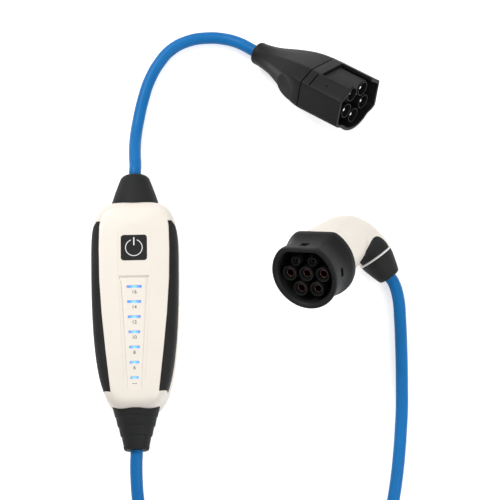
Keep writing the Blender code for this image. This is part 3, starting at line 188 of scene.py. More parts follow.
# Vehicle connector, as in the solids
NOSE_RADIUS = 0.0355
NOSE_WAIST_RADIUS = 0.0338
NOSE_FLANGE_RADIUS = 0.0378
NOSE_FLAT_SHARE = 0.83
NOSE_LENGTH = 0.0400
NOSE_WALL = 0.0060
NOSE_FLOOR = 0.0350
LATCH_HOLE = 0.0080
LATCH_DEPTH = 0.0130
CONTACT_PITCH = 0.0185
SIGNAL_CONTACT_RISE = 0.0135
TOWER_RADIUS = 0.0075
SMALL_TOWER_RADIUS = 0.0048
TOWER_LIP = 0.0012
SMALL_TOWER_LIP = 0.0009
TOWER_RECESS = 0.0050
CARRIER_BASE = 0.0060
SOCKET_RADIUS = 0.0044
SOCKET_BORE = 0.0034
SMALL_SOCKET_RADIUS = 0.0022
SMALL_SOCKET_BORE = 0.0016
SOCKET_RECESS = 0.0030
SOCKET_LENGTH = 0.0220
ELBOW_STRAIGHT = 0.0480
ELBOW_BEND_RADIUS = 0.0300
ELBOW_EXIT = 0.0040
ELBOW_START_RADIUS = 0.0345
ELBOW_BEND_START_RADIUS = 0.0265
ELBOW_END_RADIUS = 0.0185
ELBOW_ROLL = math.radians(30.0)
ELBOW_FLARE = 0.0008
BACK = Vector((0.0, 0.0, -1.0))
BEND_START = BACK * (NOSE_LENGTH + ELBOW_STRAIGHT)
TONGUE_DEPTH = 0.0014
RING_THICKNESS = 0.0014
CONE_LENGTH = 0.0245
SPIGOT_RADIUS = 0.0115
SPIGOT_LENGTH = 0.0060
VEHICLE_CONE_END = (0.2590, 0.0345, 0.0124)
VEHICLE_NOSE_AZIMUTH = math.radians(-130.0)
VEHICLE_NOSE_ELEVATION = math.radians(42.0)
VEHICLE_EXIT_DROP = math.radians(15.0)
TONGUE_MIDDLE = math.radians(129.0)
TONGUE_HALF_TURN = math.radians(61.0)
TONGUE_BEND_REACH = math.radians(45.0)
TONGUE_START = 0.0006
TONGUE_ROWS = 24
TONGUE_TIP = 0.004
TONGUE_OUTSIDE = 1.15
TONGUE_INSIDE = 0.80

# Coil: its turns lie a diameter apart in columns and layers
COIL_CENTRE = (0.1330, -0.3000)
COIL_OUTER_TURN = 0.0866
COIL_BASE = 0.00815
COIL_LEAD_HEIGHT = 0.0064
COIL_LEAD_RADIUS = 0.0990
COIL_TURNS = (
    (0, 0), (1, 0), (2, 0), (3, 0), (3, 1), (2, 1), (1, 1), (0, 1), (1, 2), (0, 2),
)
POINTS_PER_TURN = 18
CHANGE_SHARE = 0.16
COIL_SETTLE_SHARE = 0.2
ROLL_START = 0.15
ROLL_SHARE = 0.45
DROP_START = 0.45
DROP_SHARE = 0.50

# Where the cables run on the floor, as in the solids
SUPPLY_LEAD_ROUTE = (
    (0.0002, 0.1520, 0.0278), (-0.0006, 0.1700, 0.0205), (0.0000, 0.1900, 0.0115),
    (0.0028, 0.2100, 0.0065), (0.0072, 0.2300, 0.0063), (0.0142, 0.2520, 0.0063),
    (0.0250, 0.2720, 0.0063), (0.0380, 0.2865, 0.0063), (0.0555, 0.2955, 0.0063),
    (0.0754, 0.2985, 0.0063), (0.0930, 0.2968, 0.0073), (0.1090, 0.2908, 0.0105),
)
BOX_SIDE_ROUTE = (
    (-0.0004, -0.1520, 0.0284), (-0.0006, -0.1700, 0.0218), (0.0006, -0.1910, 0.0120),
    (0.0042, -0.2130, 0.0066), (0.0108, -0.2350, 0.0063), (0.0200, -0.2570, 0.0063),
    (0.0284, -0.2780, 0.0063),
)
PLUG_SIDE_ROUTE = (
    (0.2668, 0.0140, 0.0090), (0.2682, -0.0090, 0.0065), (0.2684, -0.0320, 0.0063),
    (0.2682, -0.0550, 0.0063), (0.2676, -0.0780, 0.0063), (0.2668, -0.1000, 0.0063),
    (0.2652, -0.1200, 0.0063), (0.2626, -0.1450, 0.0063), (0.2592, -0.1700, 0.0063),
    (0.2550, -0.1930, 0.0063), (0.2498, -0.2180, 0.0063), (0.2436, -0.2420, 0.0063),
    (0.2376, -0.2680, 0.0063),
)

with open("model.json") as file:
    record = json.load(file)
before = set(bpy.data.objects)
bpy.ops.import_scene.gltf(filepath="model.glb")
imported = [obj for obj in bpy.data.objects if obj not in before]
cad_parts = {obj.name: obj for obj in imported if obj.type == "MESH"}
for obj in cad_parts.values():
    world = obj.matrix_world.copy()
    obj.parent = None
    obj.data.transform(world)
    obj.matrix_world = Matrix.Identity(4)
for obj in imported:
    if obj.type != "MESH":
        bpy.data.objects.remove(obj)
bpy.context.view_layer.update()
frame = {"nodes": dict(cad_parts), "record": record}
SCENE = bpy.context.scene
NODE_SLOTS = {subpart["node"]: subpart["material_slot"] for subpart in frame["record"]["subparts"]}


def make_camera():
    camera = bpy.data.cameras.new("camera")
    camera.sensor_width = SENSOR
    camera.lens = CAMERA_FOCAL_PIXELS / IMAGE_PIXELS * SENSOR
    camera.clip_end = 20.0
    holder = bpy.data.objects.new("camera", camera)
    SCENE.collection.objects.link(holder)
    right = Vector((1, 0, 0))
    up = Vector((0, math.cos(CAMERA_TILT), math.sin(CAMERA_TILT)))
    back = Vector((0, -math.sin(CAMERA_TILT), math.cos(CAMERA_TILT)))
    rolled_right = right * math.cos(CAMERA_ROLL) + up * math.sin(CAMERA_ROLL)
    rolled_up = up * math.cos(CAMERA_ROLL) - right * math.sin(CAMERA_ROLL)
    place = Vector(CAMERA_TARGET) + back * CAMERA_DISTANCE
    holder.matrix_world = frame_matrix(rolled_right, rolled_up, back, place)
    SCENE.camera = holder


def frame_matrix(right, up, forward, origin):
    return Matrix.Translation(origin) @ Matrix((right, up, forward)).transposed().to_4x4()


# Materials

def give(paint, node, inputs):
    """Set a node's inputs to values, or link them to other nodes' outputs."""
    for name, value in inputs.items():
        if isinstance(value, bpy.types.NodeSocket):
            paint.node_tree.links.new(value, node.inputs[name])
        else:
            node.inputs[name].default_value = value


def give_shader(paint, inputs):
    give(paint, paint.node_tree.nodes["Principled BSDF"], inputs)


def add_node(paint, kind, inputs):
    node = paint.node_tree.nodes.new("ShaderNode" + kind)
    give(paint, node, inputs)
    return node


def add_math(paint, operation, first, second=0.0):
    node = add_node(paint, "Math", {0: first, 1: second})
    node.operation = operation
    return node.outputs["Value"]


def new_paint(name, colour, roughness, metallic=0.0):
    paint = bpy.data.materials.new(name)
    paint.use_nodes = True
    give_shader(paint, {"Base Color": (*colour, 1.0), "Roughness": roughness, "Metallic": metallic})
    return paint


def noise(paint, scale, detail, stretch=(1.0, 1.0, 1.0)):
    place = add_node(paint, "TexCoord", {}).outputs["Object"]
    mapping = add_node(paint, "Mapping", {"Vector": place, "Scale": stretch})
    inputs = {"Vector": mapping.outputs["Vector"], "Scale": scale, "Detail": detail}
    return add_node(paint, "TexNoise", inputs).outputs["Fac"]


def colour_ramp(paint, fac, colours, places):
    ramp = add_node(paint, "ValToRGB", {"Fac": fac})
    for element, colour, place in zip(ramp.color_ramp.elements, colours, places):
        element.position = place
        element.color = (*colour, 1.0)
    return ramp.outputs["Color"]


def map_range(paint, value, source_range, result_range):
    low, high = source_range
    to_low, to_high = result_range
    inputs = {"Value": value, "From Min": low, "From Max": high, "To Min": to_low, "To Max": to_high}
    return add_node(paint, "MapRange", inputs).outputs["Result"]


def vary_colour(paint, colour, drift):
    """Let the base colour drift between two close tones."""
    tones = [[min(1.0, channel * factor) for channel in colour] for factor in (1.0 - drift, 1.0 + drift)]
    broad = noise(paint, DRIFT_SCALE, 3.0)
    give_shader(paint, {"Base Color": colour_ramp(paint, broad, tones, NOISE_MIDDLE)})


def vary_roughness(paint, fac, low, high):
    give_shader(paint, {"Roughness": map_range(paint, fac, NOISE_MIDDLE, (low, high))})


def add_grain(paint, fac, depth, edge_radius):
    """Surface grain, on edges that are softened a little."""
    bump = add_node(paint, "Bump", {"Strength": 1.0, "Distance": depth, "Height": fac})
    if edge_radius > 0:
        bevel = add_node(paint, "Bevel", {"Radius": edge_radius})
        bevel.samples = BEVEL_SAMPLES
        give(paint, bump, {"Normal": bevel.outputs["Normal"]})
    give_shader(paint, {"Normal": bump.outputs["Normal"]})


def moulded(name, colour, roughness, grain_scale, grain_depth, edge_radius, drift):
    """Moulded plastic or rubber: fine grain, slight drift of tone and gloss, soft edges."""
    paint = new_paint(name, colour, roughness)
    vary_colour(paint, colour, drift)
    fine = noise(paint, grain_scale, 4.0)
    vary_roughness(paint, fine, roughness - 0.05, roughness + 0.06)
    add_grain(paint, fine, grain_depth, edge_radius)
    return paint


def brushed(name, colour, roughness, grain_scale):
    metal = new_paint(name, colour, roughness, 1.0)
    fine = noise(metal, grain_scale, 3.0, (1.0, 1.0, 0.15))
    vary_roughness(metal, fine, roughness - 0.06, roughness + 0.08)
    add_grain(metal, fine, 0.00001, 0.0)
    return metal


def glossy_badge():
    badge = new_paint("gloss_black_badge", (0.004, 0.004, 0.004), 0.10)
    give_shader(badge, {"Coat Weight": 0.6, "Coat Roughness": 0.04})
    add_grain(badge, noise(badge, 260.0, 2.0), 0.000008, 0.0004)
    return badge


def lit_blue():
    """Lit windows: a bright cyan-white middle that turns to blue at both ends."""
    paint = new_paint("lit_blue_window", (0.05, 0.20, 0.85), 0.25)
    place = add_node(paint, "TexCoord", {}).outputs["Object"]
    apart = add_node(paint, "SeparateXYZ", {"Vector": place})
    distance = add_math(paint, "ABSOLUTE", apart.outputs["X"])
    share = map_range(paint, distance, (0.0006, 0.0048), (0.0, 1.0))
    glow = colour_ramp(paint, share, ((0.35, 0.85, 1.0), (0.12, 0.28, 0.90)), (0.0, 1.0))
    give_shader(paint, {"Emission Color": glow, "Emission Strength": 0.75})
    return paint


def make_paints():
    cream = (0.878, 0.812, 0.724)
    rubber = (0.019, 0.0195, 0.0195)
    housing = (0.0118, 0.0120, 0.0123)
    jacket = (0.0080, 0.165, 0.460)
    paints = {
        "cream_plastic": moulded("cream_shell", cream, 0.36, 900.0, 0.00002, 0.0008, 0.015),
        "black_rubber": moulded("soft_black_rubber", rubber, 0.62, 1500.0, 0.00006, 0.0005, 0.12),
        "black_plastic": moulded("black_housing", housing, 0.50, 1900.0, 0.00004, 0.0006, 0.10),
        "cable_blue": moulded("blue_jacket", jacket, 0.42, 420.0, 0.00003, 0.0, 0.05),
        "board_green": moulded("board_green", (0.02, 0.15, 0.05), 0.4, 600.0, 0.00002, 0.0, 0.10),
        "component_grey": moulded("component_grey", (0.18, 0.18, 0.19), 0.5, 600.0, 0.00002, 0.0, 0.10),
        "ring_silver": moulded("pale_ring", (0.90, 0.90, 0.89), 0.28, 900.0, 0.00001, 0.0002, 0.02),
        "badge_gloss": glossy_badge(),
        "steel": brushed("steel", (0.55, 0.55, 0.56), 0.30, 700.0),
        "contact_copper": brushed("contact_copper", (0.14, 0.066, 0.05), 0.22, 900.0),
        "pin_metal": brushed("pin_metal", (0.86, 0.86, 0.84), 0.22, 900.0),
        "light_guide_blue": lit_blue(),
        "print_white": new_paint("print_white", (0.85, 0.85, 0.84), 0.5),
        "print_grey": new_paint("print_grey", (0.05, 0.05, 0.05), 0.5),
    }
    for name in ("black_rubber", "black_plastic", "cable_blue"):
        give_shader(paints[name], {"Specular IOR Level": DARK_SPECULAR})
    return paints


def dress_nodes():
    """Give every CAD node the detailed material of its slot."""
    for node, slot_name in NODE_SLOTS.items():
        for slot in frame["nodes"][node].material_slots:
            slot.material = PAINTS[slot_name]


# Cables

def direction(azimuth, elevation):
    flat = math.cos(elevation)
    return Vector((flat * math.cos(azimuth), flat * math.sin(azimuth), math.sin(elevation)))


def vehicle_axes():
    """The nose's direction and the way out of the elbow, at right angles to it."""
    rise = math.sin(VEHICLE_NOSE_ELEVATION) * math.sin(VEHICLE_EXIT_DROP)
    turn = math.acos(rise / (math.cos(VEHICLE_NOSE_ELEVATION) * math.cos(VEHICLE_EXIT_DROP)))
    forward = direction(VEHICLE_NOSE_AZIMUTH, VEHICLE_NOSE_ELEVATION)
    return forward, direction(VEHICLE_NOSE_AZIMUTH + turn, -VEHICLE_EXIT_DROP)


def stub(end_point, way):
    start = Vector(end_point) + Vector(way) * GAP
    return [start, start + Vector(way) * EXIT_STUB]


def coil_side(side):
    end = Vector((COIL_CENTRE[0] + side * COIL_LEAD_RADIUS, COIL_CENTRE[1], COIL_LEAD_HEIGHT))
    return end + Vector((0.0, EXIT_STUB, 0.0))


def ease(share):
    share = min(1.0, max(0.0, share))
    return share * share * (3 - 2 * share)


def turn_place(column, layer):
    return COIL_OUTER_TURN - column * CABLE_DIAMETER, COIL_BASE + layer * CABLE_DIAMETER


def coil_points():
    """The wound length: in at the left, turn by turn up the layers, and down the outside to the right."""
    points = []
    for number, (column, layer) in enumerate(COIL_TURNS):
        radius, height = turn_place(column, layer)
        after = COIL_TURNS[min(number + 1, len(COIL_TURNS) - 1)]
        next_radius, next_height = turn_place(*after)
        for step in range(POINTS_PER_TURN):
            share = step / POINTS_PER_TURN
            change = ease((share - 1 + CHANGE_SHARE) / CHANGE_SHARE)
            here_radius = radius + (next_radius - radius) * change
            here_height = height + (next_height - height) * change
            if number == 0:
                settle = ease(share / COIL_SETTLE_SHARE)
                here_radius = COIL_LEAD_RADIUS + (here_radius - COIL_LEAD_RADIUS) * settle
                here_height = COIL_LEAD_HEIGHT + (here_height - COIL_LEAD_HEIGHT) * settle
            points.append(polar(math.pi + math.tau * share, here_radius, here_height))
    return points + descent_points()


def descent_points():
    """The last half turn rolls off the top layer and lies down beside the coil."""
    points = []
    radius, height = turn_place(*COIL_TURNS[-1])
    middle = height - CABLE_DIAMETER
    steps = POINTS_PER_TURN // 2 + 3
    for step in range(steps):
        share = step / steps
        roll = math.pi / 2 * (1 - ease((share - ROLL_START) / ROLL_SHARE))
        drop = ease((share - DROP_START) / DROP_SHARE)
        here_radius = radius + CABLE_DIAMETER * math.cos(roll)
        here_height = middle + CABLE_DIAMETER * math.sin(roll)
        here_height += (COIL_LEAD_HEIGHT - middle) * drop
        here_radius += (COIL_LEAD_RADIUS - radius - CABLE_DIAMETER) * drop
        points.append(polar(math.pi + math.pi * share, here_radius, here_height))
    points.append(polar(math.tau, COIL_LEAD_RADIUS, COIL_LEAD_HEIGHT))
    return points


def polar(angle, radius, height):
    x = COIL_CENTRE[0] + radius * math.cos(angle)
    y = COIL_CENTRE[1] + radius * math.sin(angle)
    return Vector((x, y, height))


def cable(name, nodes, points):
    """A cable as a smooth curve through its points, in place of the nodes it hides."""
    curve = bpy.data.curves.new(name, "CURVE")
    curve.dimensions = "3D"
    curve.bevel_depth = CABLE_DIAMETER / 2
    curve.bevel_resolution = 6
    curve.resolution_u = 8
    curve.use_fill_caps = True
    spline = curve.splines.new("BEZIER")
    spline.bezier_points.add(len(points) - 1)
    for place, point in zip(points, spline.bezier_points):
        point.co = place
        point.handle_left_type = "AUTO"
        point.handle_right_type = "AUTO"
    curve.materials.append(PAINTS["cable_blue"])
    piece = bpy.data.objects.new(name, curve)
    SCENE.collection.objects.link(piece)
    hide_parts(*nodes)
    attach(piece, "root")


def vectors(route):
    return [Vector(point) for point in route]


def make_supply_lead():
    start = (0.0, SHELL_TOP_Y + UPPER_RELIEF_REACH, SPLIT_HEIGHT)
    end = stub(SUPPLY_TAIL_POINT, -direction(SUPPLY_AZIMUTH, SUPPLY_PITCH))
    points = stub(start, (0.0, 1.0, 0.0)) + vectors(SUPPLY_LEAD_ROUTE) + end[::-1]
    carried = ["supply_hood", "supply_handle", "supply_insulator"]
    carried += ["supply_pin_%d" % (index + 1) for index in range(PIN_COUNT)]
    cable("supply_lead_cable", ["supply_lead"], points)


def make_charging_cable():
    start = (0.0, SHELL_BOTTOM_Y - LOWER_RELIEF_REACH, SPLIT_HEIGHT)
    outward = vehicle_axes()[1]
    points = stub(start, (0.0, -1.0, 0.0)) + vectors(BOX_SIDE_ROUTE) + [coil_side(-1)]
    points += coil_points() + [coil_side(1)] + vectors(reversed(PLUG_SIDE_ROUTE))
    points += stub(VEHICLE_CONE_END, outward)[::-1] + [Vector(VEHICLE_CONE_END) - outward * CABLE_RUN_IN]
    nodes = ["charging_cable_box_side", "charging_cable_plug_side", "charging_cable_coil"]
    carried = ["vehicle_nose", "contact_carrier", "vehicle_elbow", "grip_tongue", "trim_ring"]
    carried += ["vehicle_strain_relief", "coil_strap_1", "coil_strap_2"]
    carried += sorted(contact[0] for contact in contact_places())
    cable("charging_cable", nodes, points)


# Shape helpers

def look_name(node):
    return node + "_look"


def mesh_object(name, bm):
    bmesh.ops.recalc_face_normals(bm, faces=bm.faces)
    mesh = bpy.data.meshes.new(name)
    bm.to_mesh(mesh)
    bm.free()
    made = bpy.data.objects.new(name, mesh)
    SCENE.collection.objects.link(made)
    return made


def add_loft(bm, rings):
    """Skin a closed solid over rings that all have the same number of points."""
    levels = [[bm.verts.new(point) for point in ring] for ring in rings]
    count = len(rings[0])
    for low, high in zip(levels, levels[1:]):
        for index in range(count):
            after = (index + 1) % count
            bm.faces.new((low[index], low[after], high[after], high[index]))
    bm.faces.new(list(reversed(levels[0])))
    bm.faces.new(levels[-1])


def lofts(name, ring_sets):
    bm = bmesh.new()
    for rings in ring_sets:
        add_loft(bm, rings)
    return mesh_object(name, bm)


def loft(name, rings):
    return lofts(name, [rings])


def boolean(target, tool, operation="DIFFERENCE"):
    """Cut or join at once, and drop the tool."""
    modifier = target.modifiers.new("cut", "BOOLEAN")
    modifier.operation = operation
    modifier.solver = "EXACT"
    modifier.object = tool
    bpy.context.view_layer.update()
    made = bpy.data.meshes.new_from_object(target.evaluated_get(bpy.context.evaluated_depsgraph_get()))
    target.modifiers.clear()
    spent = (target.data, tool.data)
    target.data = made
    bpy.data.objects.remove(tool)
    for mesh in spent:
        bpy.data.meshes.remove(mesh)
    return target


def cut(piece, *ring_sets):
    boolean(piece, lofts("cutter", ring_sets))


def join(piece, *ring_sets):
    boolean(piece, lofts("addition", ring_sets), "UNION")


def dress(piece, node, smooth_angle=35.0, place=None):
    """The piece takes its node's place, material slot and body."""
    if place is not None:
        piece.data.transform(place)
    slot_name = NODE_SLOTS[node]
    piece.data.materials.clear()
    piece.data.materials.append(PAINTS[slot_name])
    piece.data.shade_smooth()
    piece.data.set_sharp_from_angle(angle=math.radians(smooth_angle))
    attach(piece, "root")
    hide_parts(node)


def circle(radius, height, segments, centre=(0.0, 0.0)):
    points = []
    for index in range(segments):
        angle = math.tau * index / segments
        x = centre[0] + radius * math.cos(angle)
        points.append(Vector((x, centre[1] + radius * math.sin(angle), height)))
    return points


def rod(radius, low, high, segments=20, centre=(0.0, 0.0)):
    return [circle(radius, low, segments, centre), circle(radius, high, segments, centre)]


def along_y(rings):
    """Turn rings stacked up Z into rings stacked up Y."""
    return [[Vector((point.x, point.z, -point.y)) for point in ring] for ring in rings]


def level(outline, height):
    return [Vector((point.x, point.y, height)) for point in outline]


def mirrored(half):
    """A whole outline from its right half, which it starts with and goes back to."""
    return [half[0]] + [(-x, y) for x, y in half] + list(half[:0:-1])


def moved(rings, offset):
    shift = Vector(offset)
    return [[point + shift for point in ring] for ring in rings]


def rounded_rectangle(width, length, corner, height, steps=4, centre=(0.0, 0.0)):
    points = []
    for quadrant, (side_x, side_y) in enumerate(((1, 1), (-1, 1), (-1, -1), (1, -1))):
        middle_x = centre[0] + side_x * (width / 2 - corner)
        middle_y = centre[1] + side_y * (length / 2 - corner)
        for step in range(steps + 1):
            angle = math.pi / 2 * (quadrant + step / steps)
            x = middle_x + corner * math.cos(angle)
            points.append(Vector((x, middle_y + corner * math.sin(angle), height)))
    return points


def block(width, length, corner, low, high, centre=(0.0, 0.0), steps=2):
    return [rounded_rectangle(width, length, corner, height, steps, centre) for height in (low, high)]


def inset_ring(points, distance):
    """Move each side of a closed outline inward by a distance."""
    moved_points = []
    count = len(points)
    for index, point in enumerate(points):
        before = (point - points[index - 1]).normalized()
        after = (points[(index + 1) % count] - point).normalized()
        inward = Vector((-before.y - after.y, before.x + after.x)).normalized()
        reach = distance / max(0.3, inward.dot(Vector((-before.y, before.x))))
        moved_points.append(point + inward * reach)
    return moved_points


def smooth_stations(stations, steps):
    """Even places on a smooth curve through a few stations, each a tuple of numbers."""
    fine = []
    last = len(stations) - 1
    for index in range(last):
        start = stations[index]
        end = stations[index + 1]
        before = stations[max(0, index - 1)]
        after = stations[min(last, index + 2)]
        for step in range(steps):
            share = step / steps
            values = []
            for a, b, c, d in zip(before, start, end, after):
                bend = (c - a) * share + (2 * a - 5 * b + 4 * c - d) * share ** 2
                turn = (3 * b - a - 3 * c + d) * share ** 3
                values.append(b + (bend + turn) / 2)
            fine.append(tuple(values))
    fine.append(stations[last])
    return fine


def soft_limit(value, limit, softness):
    """The smaller of a value and a limit, with a rounded change between them."""
    gap = (limit - value) / softness
    if gap > 6:
        return value
    return limit - softness * math.log(1 + math.exp(gap))


# Control box

def power_part(value, exponent):
    return math.copysign(abs(value) ** exponent, value)


def shell_outline():
    """Plan outline of the box, anticlockwise: a blunt top and a long tapering lower part."""
    points = []
    for index in range(OUTLINE_POINTS):
        angle = math.tau * index / OUTLINE_POINTS
        upper = math.sin(angle) >= 0
        length = SHELL_UPPER_LENGTH if upper else SHELL_LOWER_LENGTH
        along, across = SHELL_UPPER_POWERS if upper else SHELL_LOWER_POWERS
        x = SHELL_HALF_WIDTH * power_part(math.cos(angle), 2 / across)
        points.append(Vector((x, SHELL_WIDEST_Y + length * power_part(math.sin(angle), 2 / along))))
    return points


def shell_sections(offset):
    """The side of the box from its back to its crown, as (inset from the outline, height)."""
    angles = [math.pi / 2 * step / EDGE_STEPS for step in range(EDGE_STEPS + 1)]
    reach = BACK_EDGE - offset
    sections = [(BACK_EDGE - reach * math.cos(a), BACK_EDGE - reach * math.sin(a)) for a in reversed(angles)]
    shoulder = BOX_HEIGHT - CROWN - FRONT_EDGE_DEPTH
    for angle in angles:
        across = (FRONT_EDGE_INSET - offset) * math.cos(angle)
        rise = (FRONT_EDGE_DEPTH - offset) * math.sin(angle)
        sections.append((FRONT_EDGE_INSET - across, shoulder + rise))
    return sections


def body_solid(offset, name="body"):
    """The whole box as one solid, its surface moved inward by an offset."""
    outline = shell_outline()
    rings = [level(inset_ring(outline, inset), height) for inset, height in shell_sections(offset)]
    front = rings[-1]
    for step in range(1, CROWN_STEPS + 1):
        share = CROWN_SHARE * step / CROWN_STEPS
        rise = CROWN * math.sin(share * math.pi / 2)
        ring = []
        for point in front:
            spine_y = min(max(point.y, SHELL_BOTTOM_Y + CROWN_MARGIN), SHELL_TOP_Y - CROWN_MARGIN)
            y = point.y + (spine_y - point.y) * share
            ring.append(Vector((point.x * (1 - share), y, point.z + rise)))
        rings.append(ring)
    return loft(name, rings)


def slab(low, high):
    """A wide level slab, to cut the box between two heights."""
    return block(0.2, 0.4, 0.001, low, high, (0.0, (SHELL_TOP_Y + SHELL_BOTTOM_Y) / 2))


def neck_holes():
    """Room for both strain relief necks through the end walls."""
    depth = WALL + 0.008
    rings = along_y(rod(RELIEF_NECK_RADIUS + GAP, -depth, depth, 32))
    return [moved(rings, (0.0, end_y, SPLIT_HEIGHT)) for end_y in (SHELL_TOP_Y, SHELL_BOTTOM_Y)]


def boss_rods(radius, low, high):
    """A rod at each of the four screw bosses."""
    rods = []
    for across, above in (UPPER_BOSS, LOWER_BOSS):
        for side in (-1, 1):
            rods.append(rod(radius, low, high, 24, (side * across, SHELL_WIDEST_Y + above)))
    return rods


def grip_region(low, high, side, grow=0.0):
    """Plan region of a side grip, from its inner edge out past the box, as a prism."""
    outline = (
        (0.0343, GRIP_TOP_REACH), (0.0352, 0.0300), (0.0357, 0.0070), (0.0352, -0.0240), (0.0328, -0.0600),
        (0.0292, -0.0960), (0.0243, -GRIP_BOTTOM_REACH), (0.0290, -GRIP_BOTTOM_REACH + 0.0010),
        (0.0600, -GRIP_BOTTOM_REACH + 0.0075), (0.0600, 0.0190), (0.0430, 0.0255), (0.0408, 0.0315),
        (0.0376, 0.0356),
    )
    points = inset_ring([Vector((x, SHELL_WIDEST_Y + y)) for x, y in outline], -grow)
    return [[Vector((side * point.x, point.y, height)) for point in points] for height in (low, high)]


def grip_pockets():
    sets = [grip_region(GRIP_LOWER_EDGE, ABOVE_BOX, side, GAP) for side in (-1, 1)]
    return boolean(lofts("grip_pockets", sets), body_solid(GRIP_DEPTH + GAP))


def make_grip(node, side):
    grip = loft(look_name(node), grip_region(GRIP_LOWER_EDGE + GAP, BOX_HEIGHT + 0.005, side))
    boolean(grip, body_solid(0.0), "INTERSECT")
    boolean(grip, body_solid(GRIP_DEPTH))
    dress(grip, node)


def light_y(index):
    return SHELL_WIDEST_Y - LIGHT_START - LIGHT_PITCH * index


def channel_floor(y):
    """Height of the channel floor, which runs out towards the lower end."""
    share = (CHANNEL_START_Y - y) / CHANNEL_LENGTH
    return FACE_HEIGHT - CHANNEL_DEPTH + (CHANNEL_DEPTH - CHANNEL_END_DEPTH) * share


def channel_cutter():
    """A tapering channel whose upper end is a steep lip: half its floor and half its rim, mirrored."""
    above = 0.003
    spread = 1 + above / CHANNEL_DEPTH
    side = CHANNEL_HALF_WIDTH - 0.0002
    side_y = CHANNEL_START_Y - 0.004
    floor = (
        (CHANNEL_HALF_WIDTH + 0.0020, CHANNEL_START_Y), (side, side_y),
        (CHANNEL_END_HALF_WIDTH, CHANNEL_END_Y),
    )
    rim = (
        (CHANNEL_HALF_WIDTH + CHANNEL_LIP_SPREAD * spread, CHANNEL_START_Y + CHANNEL_LIP * spread),
        (side + 0.002, side_y), (CHANNEL_END_HALF_WIDTH + 0.001, CHANNEL_END_Y - 0.002),
    )
    low = [Vector((x, y, channel_floor(y))) for x, y in mirrored(floor)]
    return [low, [Vector((x, y, FACE_HEIGHT + above)) for x, y in mirrored(rim)]]


def band_cutter():
    """Everything above the flat band that runs down the middle of the face."""
    stations = (
        (BAND_HALF_WIDTH, SHELL_WIDEST_Y + 0.034, BOX_HEIGHT),
        (BAND_HALF_WIDTH, BADGE_Y + BADGE_SIZE / 2 + 0.0020, FACE_HEIGHT),
        (BAND_HALF_WIDTH, CHANNEL_START_Y, FACE_HEIGHT),
        (BAND_END_HALF_WIDTH, CHANNEL_END_Y - 0.012, FACE_HEIGHT),
    )
    rings = []
    for x, y, low in stations:
        corners = ((-x, low), (x, low), (x, ABOVE_BOX), (-x, ABOVE_BOX))
        rings.append([Vector((across, y, height)) for across, height in corners])
    return rings


def window_holes():
    """Slots for the light windows, through the channel floor."""
    slots = []
    for index in range(LIGHT_COUNT):
        width = LIGHT_FIRST_WIDTH + (LIGHT_LAST_WIDTH - LIGHT_FIRST_WIDTH) * index / (LIGHT_COUNT - 1)
        top = channel_floor(light_y(index)) + 0.004
        low = FACE_HEIGHT - CHANNEL_DEPTH - WALL
        centre = (0.0, light_y(index))
        slots.append(block(width + 2 * GAP, LIGHT_HEIGHT + 2 * GAP, LIGHT_HEIGHT * 0.35, low, top, centre))
    return slots


def make_front_shell():
    shell = body_solid(0.0, look_name("front_shell"))
    boolean(shell, body_solid(WALL))
    low = SPLIT_HEIGHT + SEAL_THICKNESS / 2 + GAP
    cut(shell, slab(-0.02, low))
    join(shell, *boss_rods(BOSS_RADIUS, low, BOX_HEIGHT - CROWN - WALL - BOSS_CLEARANCE))
    cut(shell, *boss_rods(SCREW_RADIUS + GAP, 0.0, COUNTERBORE_DEPTH + SCREW_LENGTH + 2 * GAP))
    cut(shell, *neck_holes())
    cut(shell, band_cutter())
    cut(shell, channel_cutter())
    side = BADGE_SIZE + 2 * GAP
    badge_floor = FACE_HEIGHT - BADGE_THICKNESS - GAP
    cut(shell, block(side, side, BADGE_CORNER, badge_floor, ABOVE_BOX, (0.0, BADGE_Y), 8))
    cut(shell, *window_holes())
    boolean(shell, grip_pockets())
    dress(shell, "front_shell", 28.0)


def make_back_shell():
    shell = body_solid(0.0, look_name("back_shell"))
    boolean(shell, body_solid(WALL))
    high = SPLIT_HEIGHT - SEAL_THICKNESS / 2 - GAP
    cut(shell, slab(high, BOX_HEIGHT + 0.02))
    join(shell, *boss_rods(BOSS_RADIUS, WALL / 2, high))
    cut(shell, *boss_rods(SCREW_RADIUS + GAP, -0.01, SPLIT_HEIGHT))
    cut(shell, *boss_rods(SCREW_HEAD_RADIUS + GAP, -0.01, COUNTERBORE_DEPTH))
    cut(shell, *neck_holes())
    dress(shell, "back_shell", 28.0)


def make_relief(node, end_y, turn, sections, tip_half):
    """A strain relief of oval sections, flatter than wide, by (distance from the shell end, half width)."""
    rings = []
    for distance, half in sections:
        half_depth = tip_half + (half - tip_half) * RELIEF_FLATNESS
        unit = circle(1.0, distance * turn, ROUND_STEPS)
        rings.append([Vector((point.x * half, point.y * half_depth, point.z)) for point in unit])
    relief = loft(look_name(node), moved(along_y(rings), (0.0, end_y, SPLIT_HEIGHT)))
    boolean(relief, body_solid(-GAP))
    dress(relief, node, 30.0)


def make_upper_relief():
    sections = (
        (-0.0120, 0.0262), (-0.0012, 0.0245), (0.0048, 0.0235), (0.0148, 0.0202), (0.0240, 0.0168),
        (0.0290, 0.0148), (0.0310, 0.0130), (0.0321, 0.0112), (UPPER_RELIEF_REACH, 0.0090),
    )
    make_relief("upper_strain_relief", SHELL_TOP_Y, 1, sections, 0.0120)


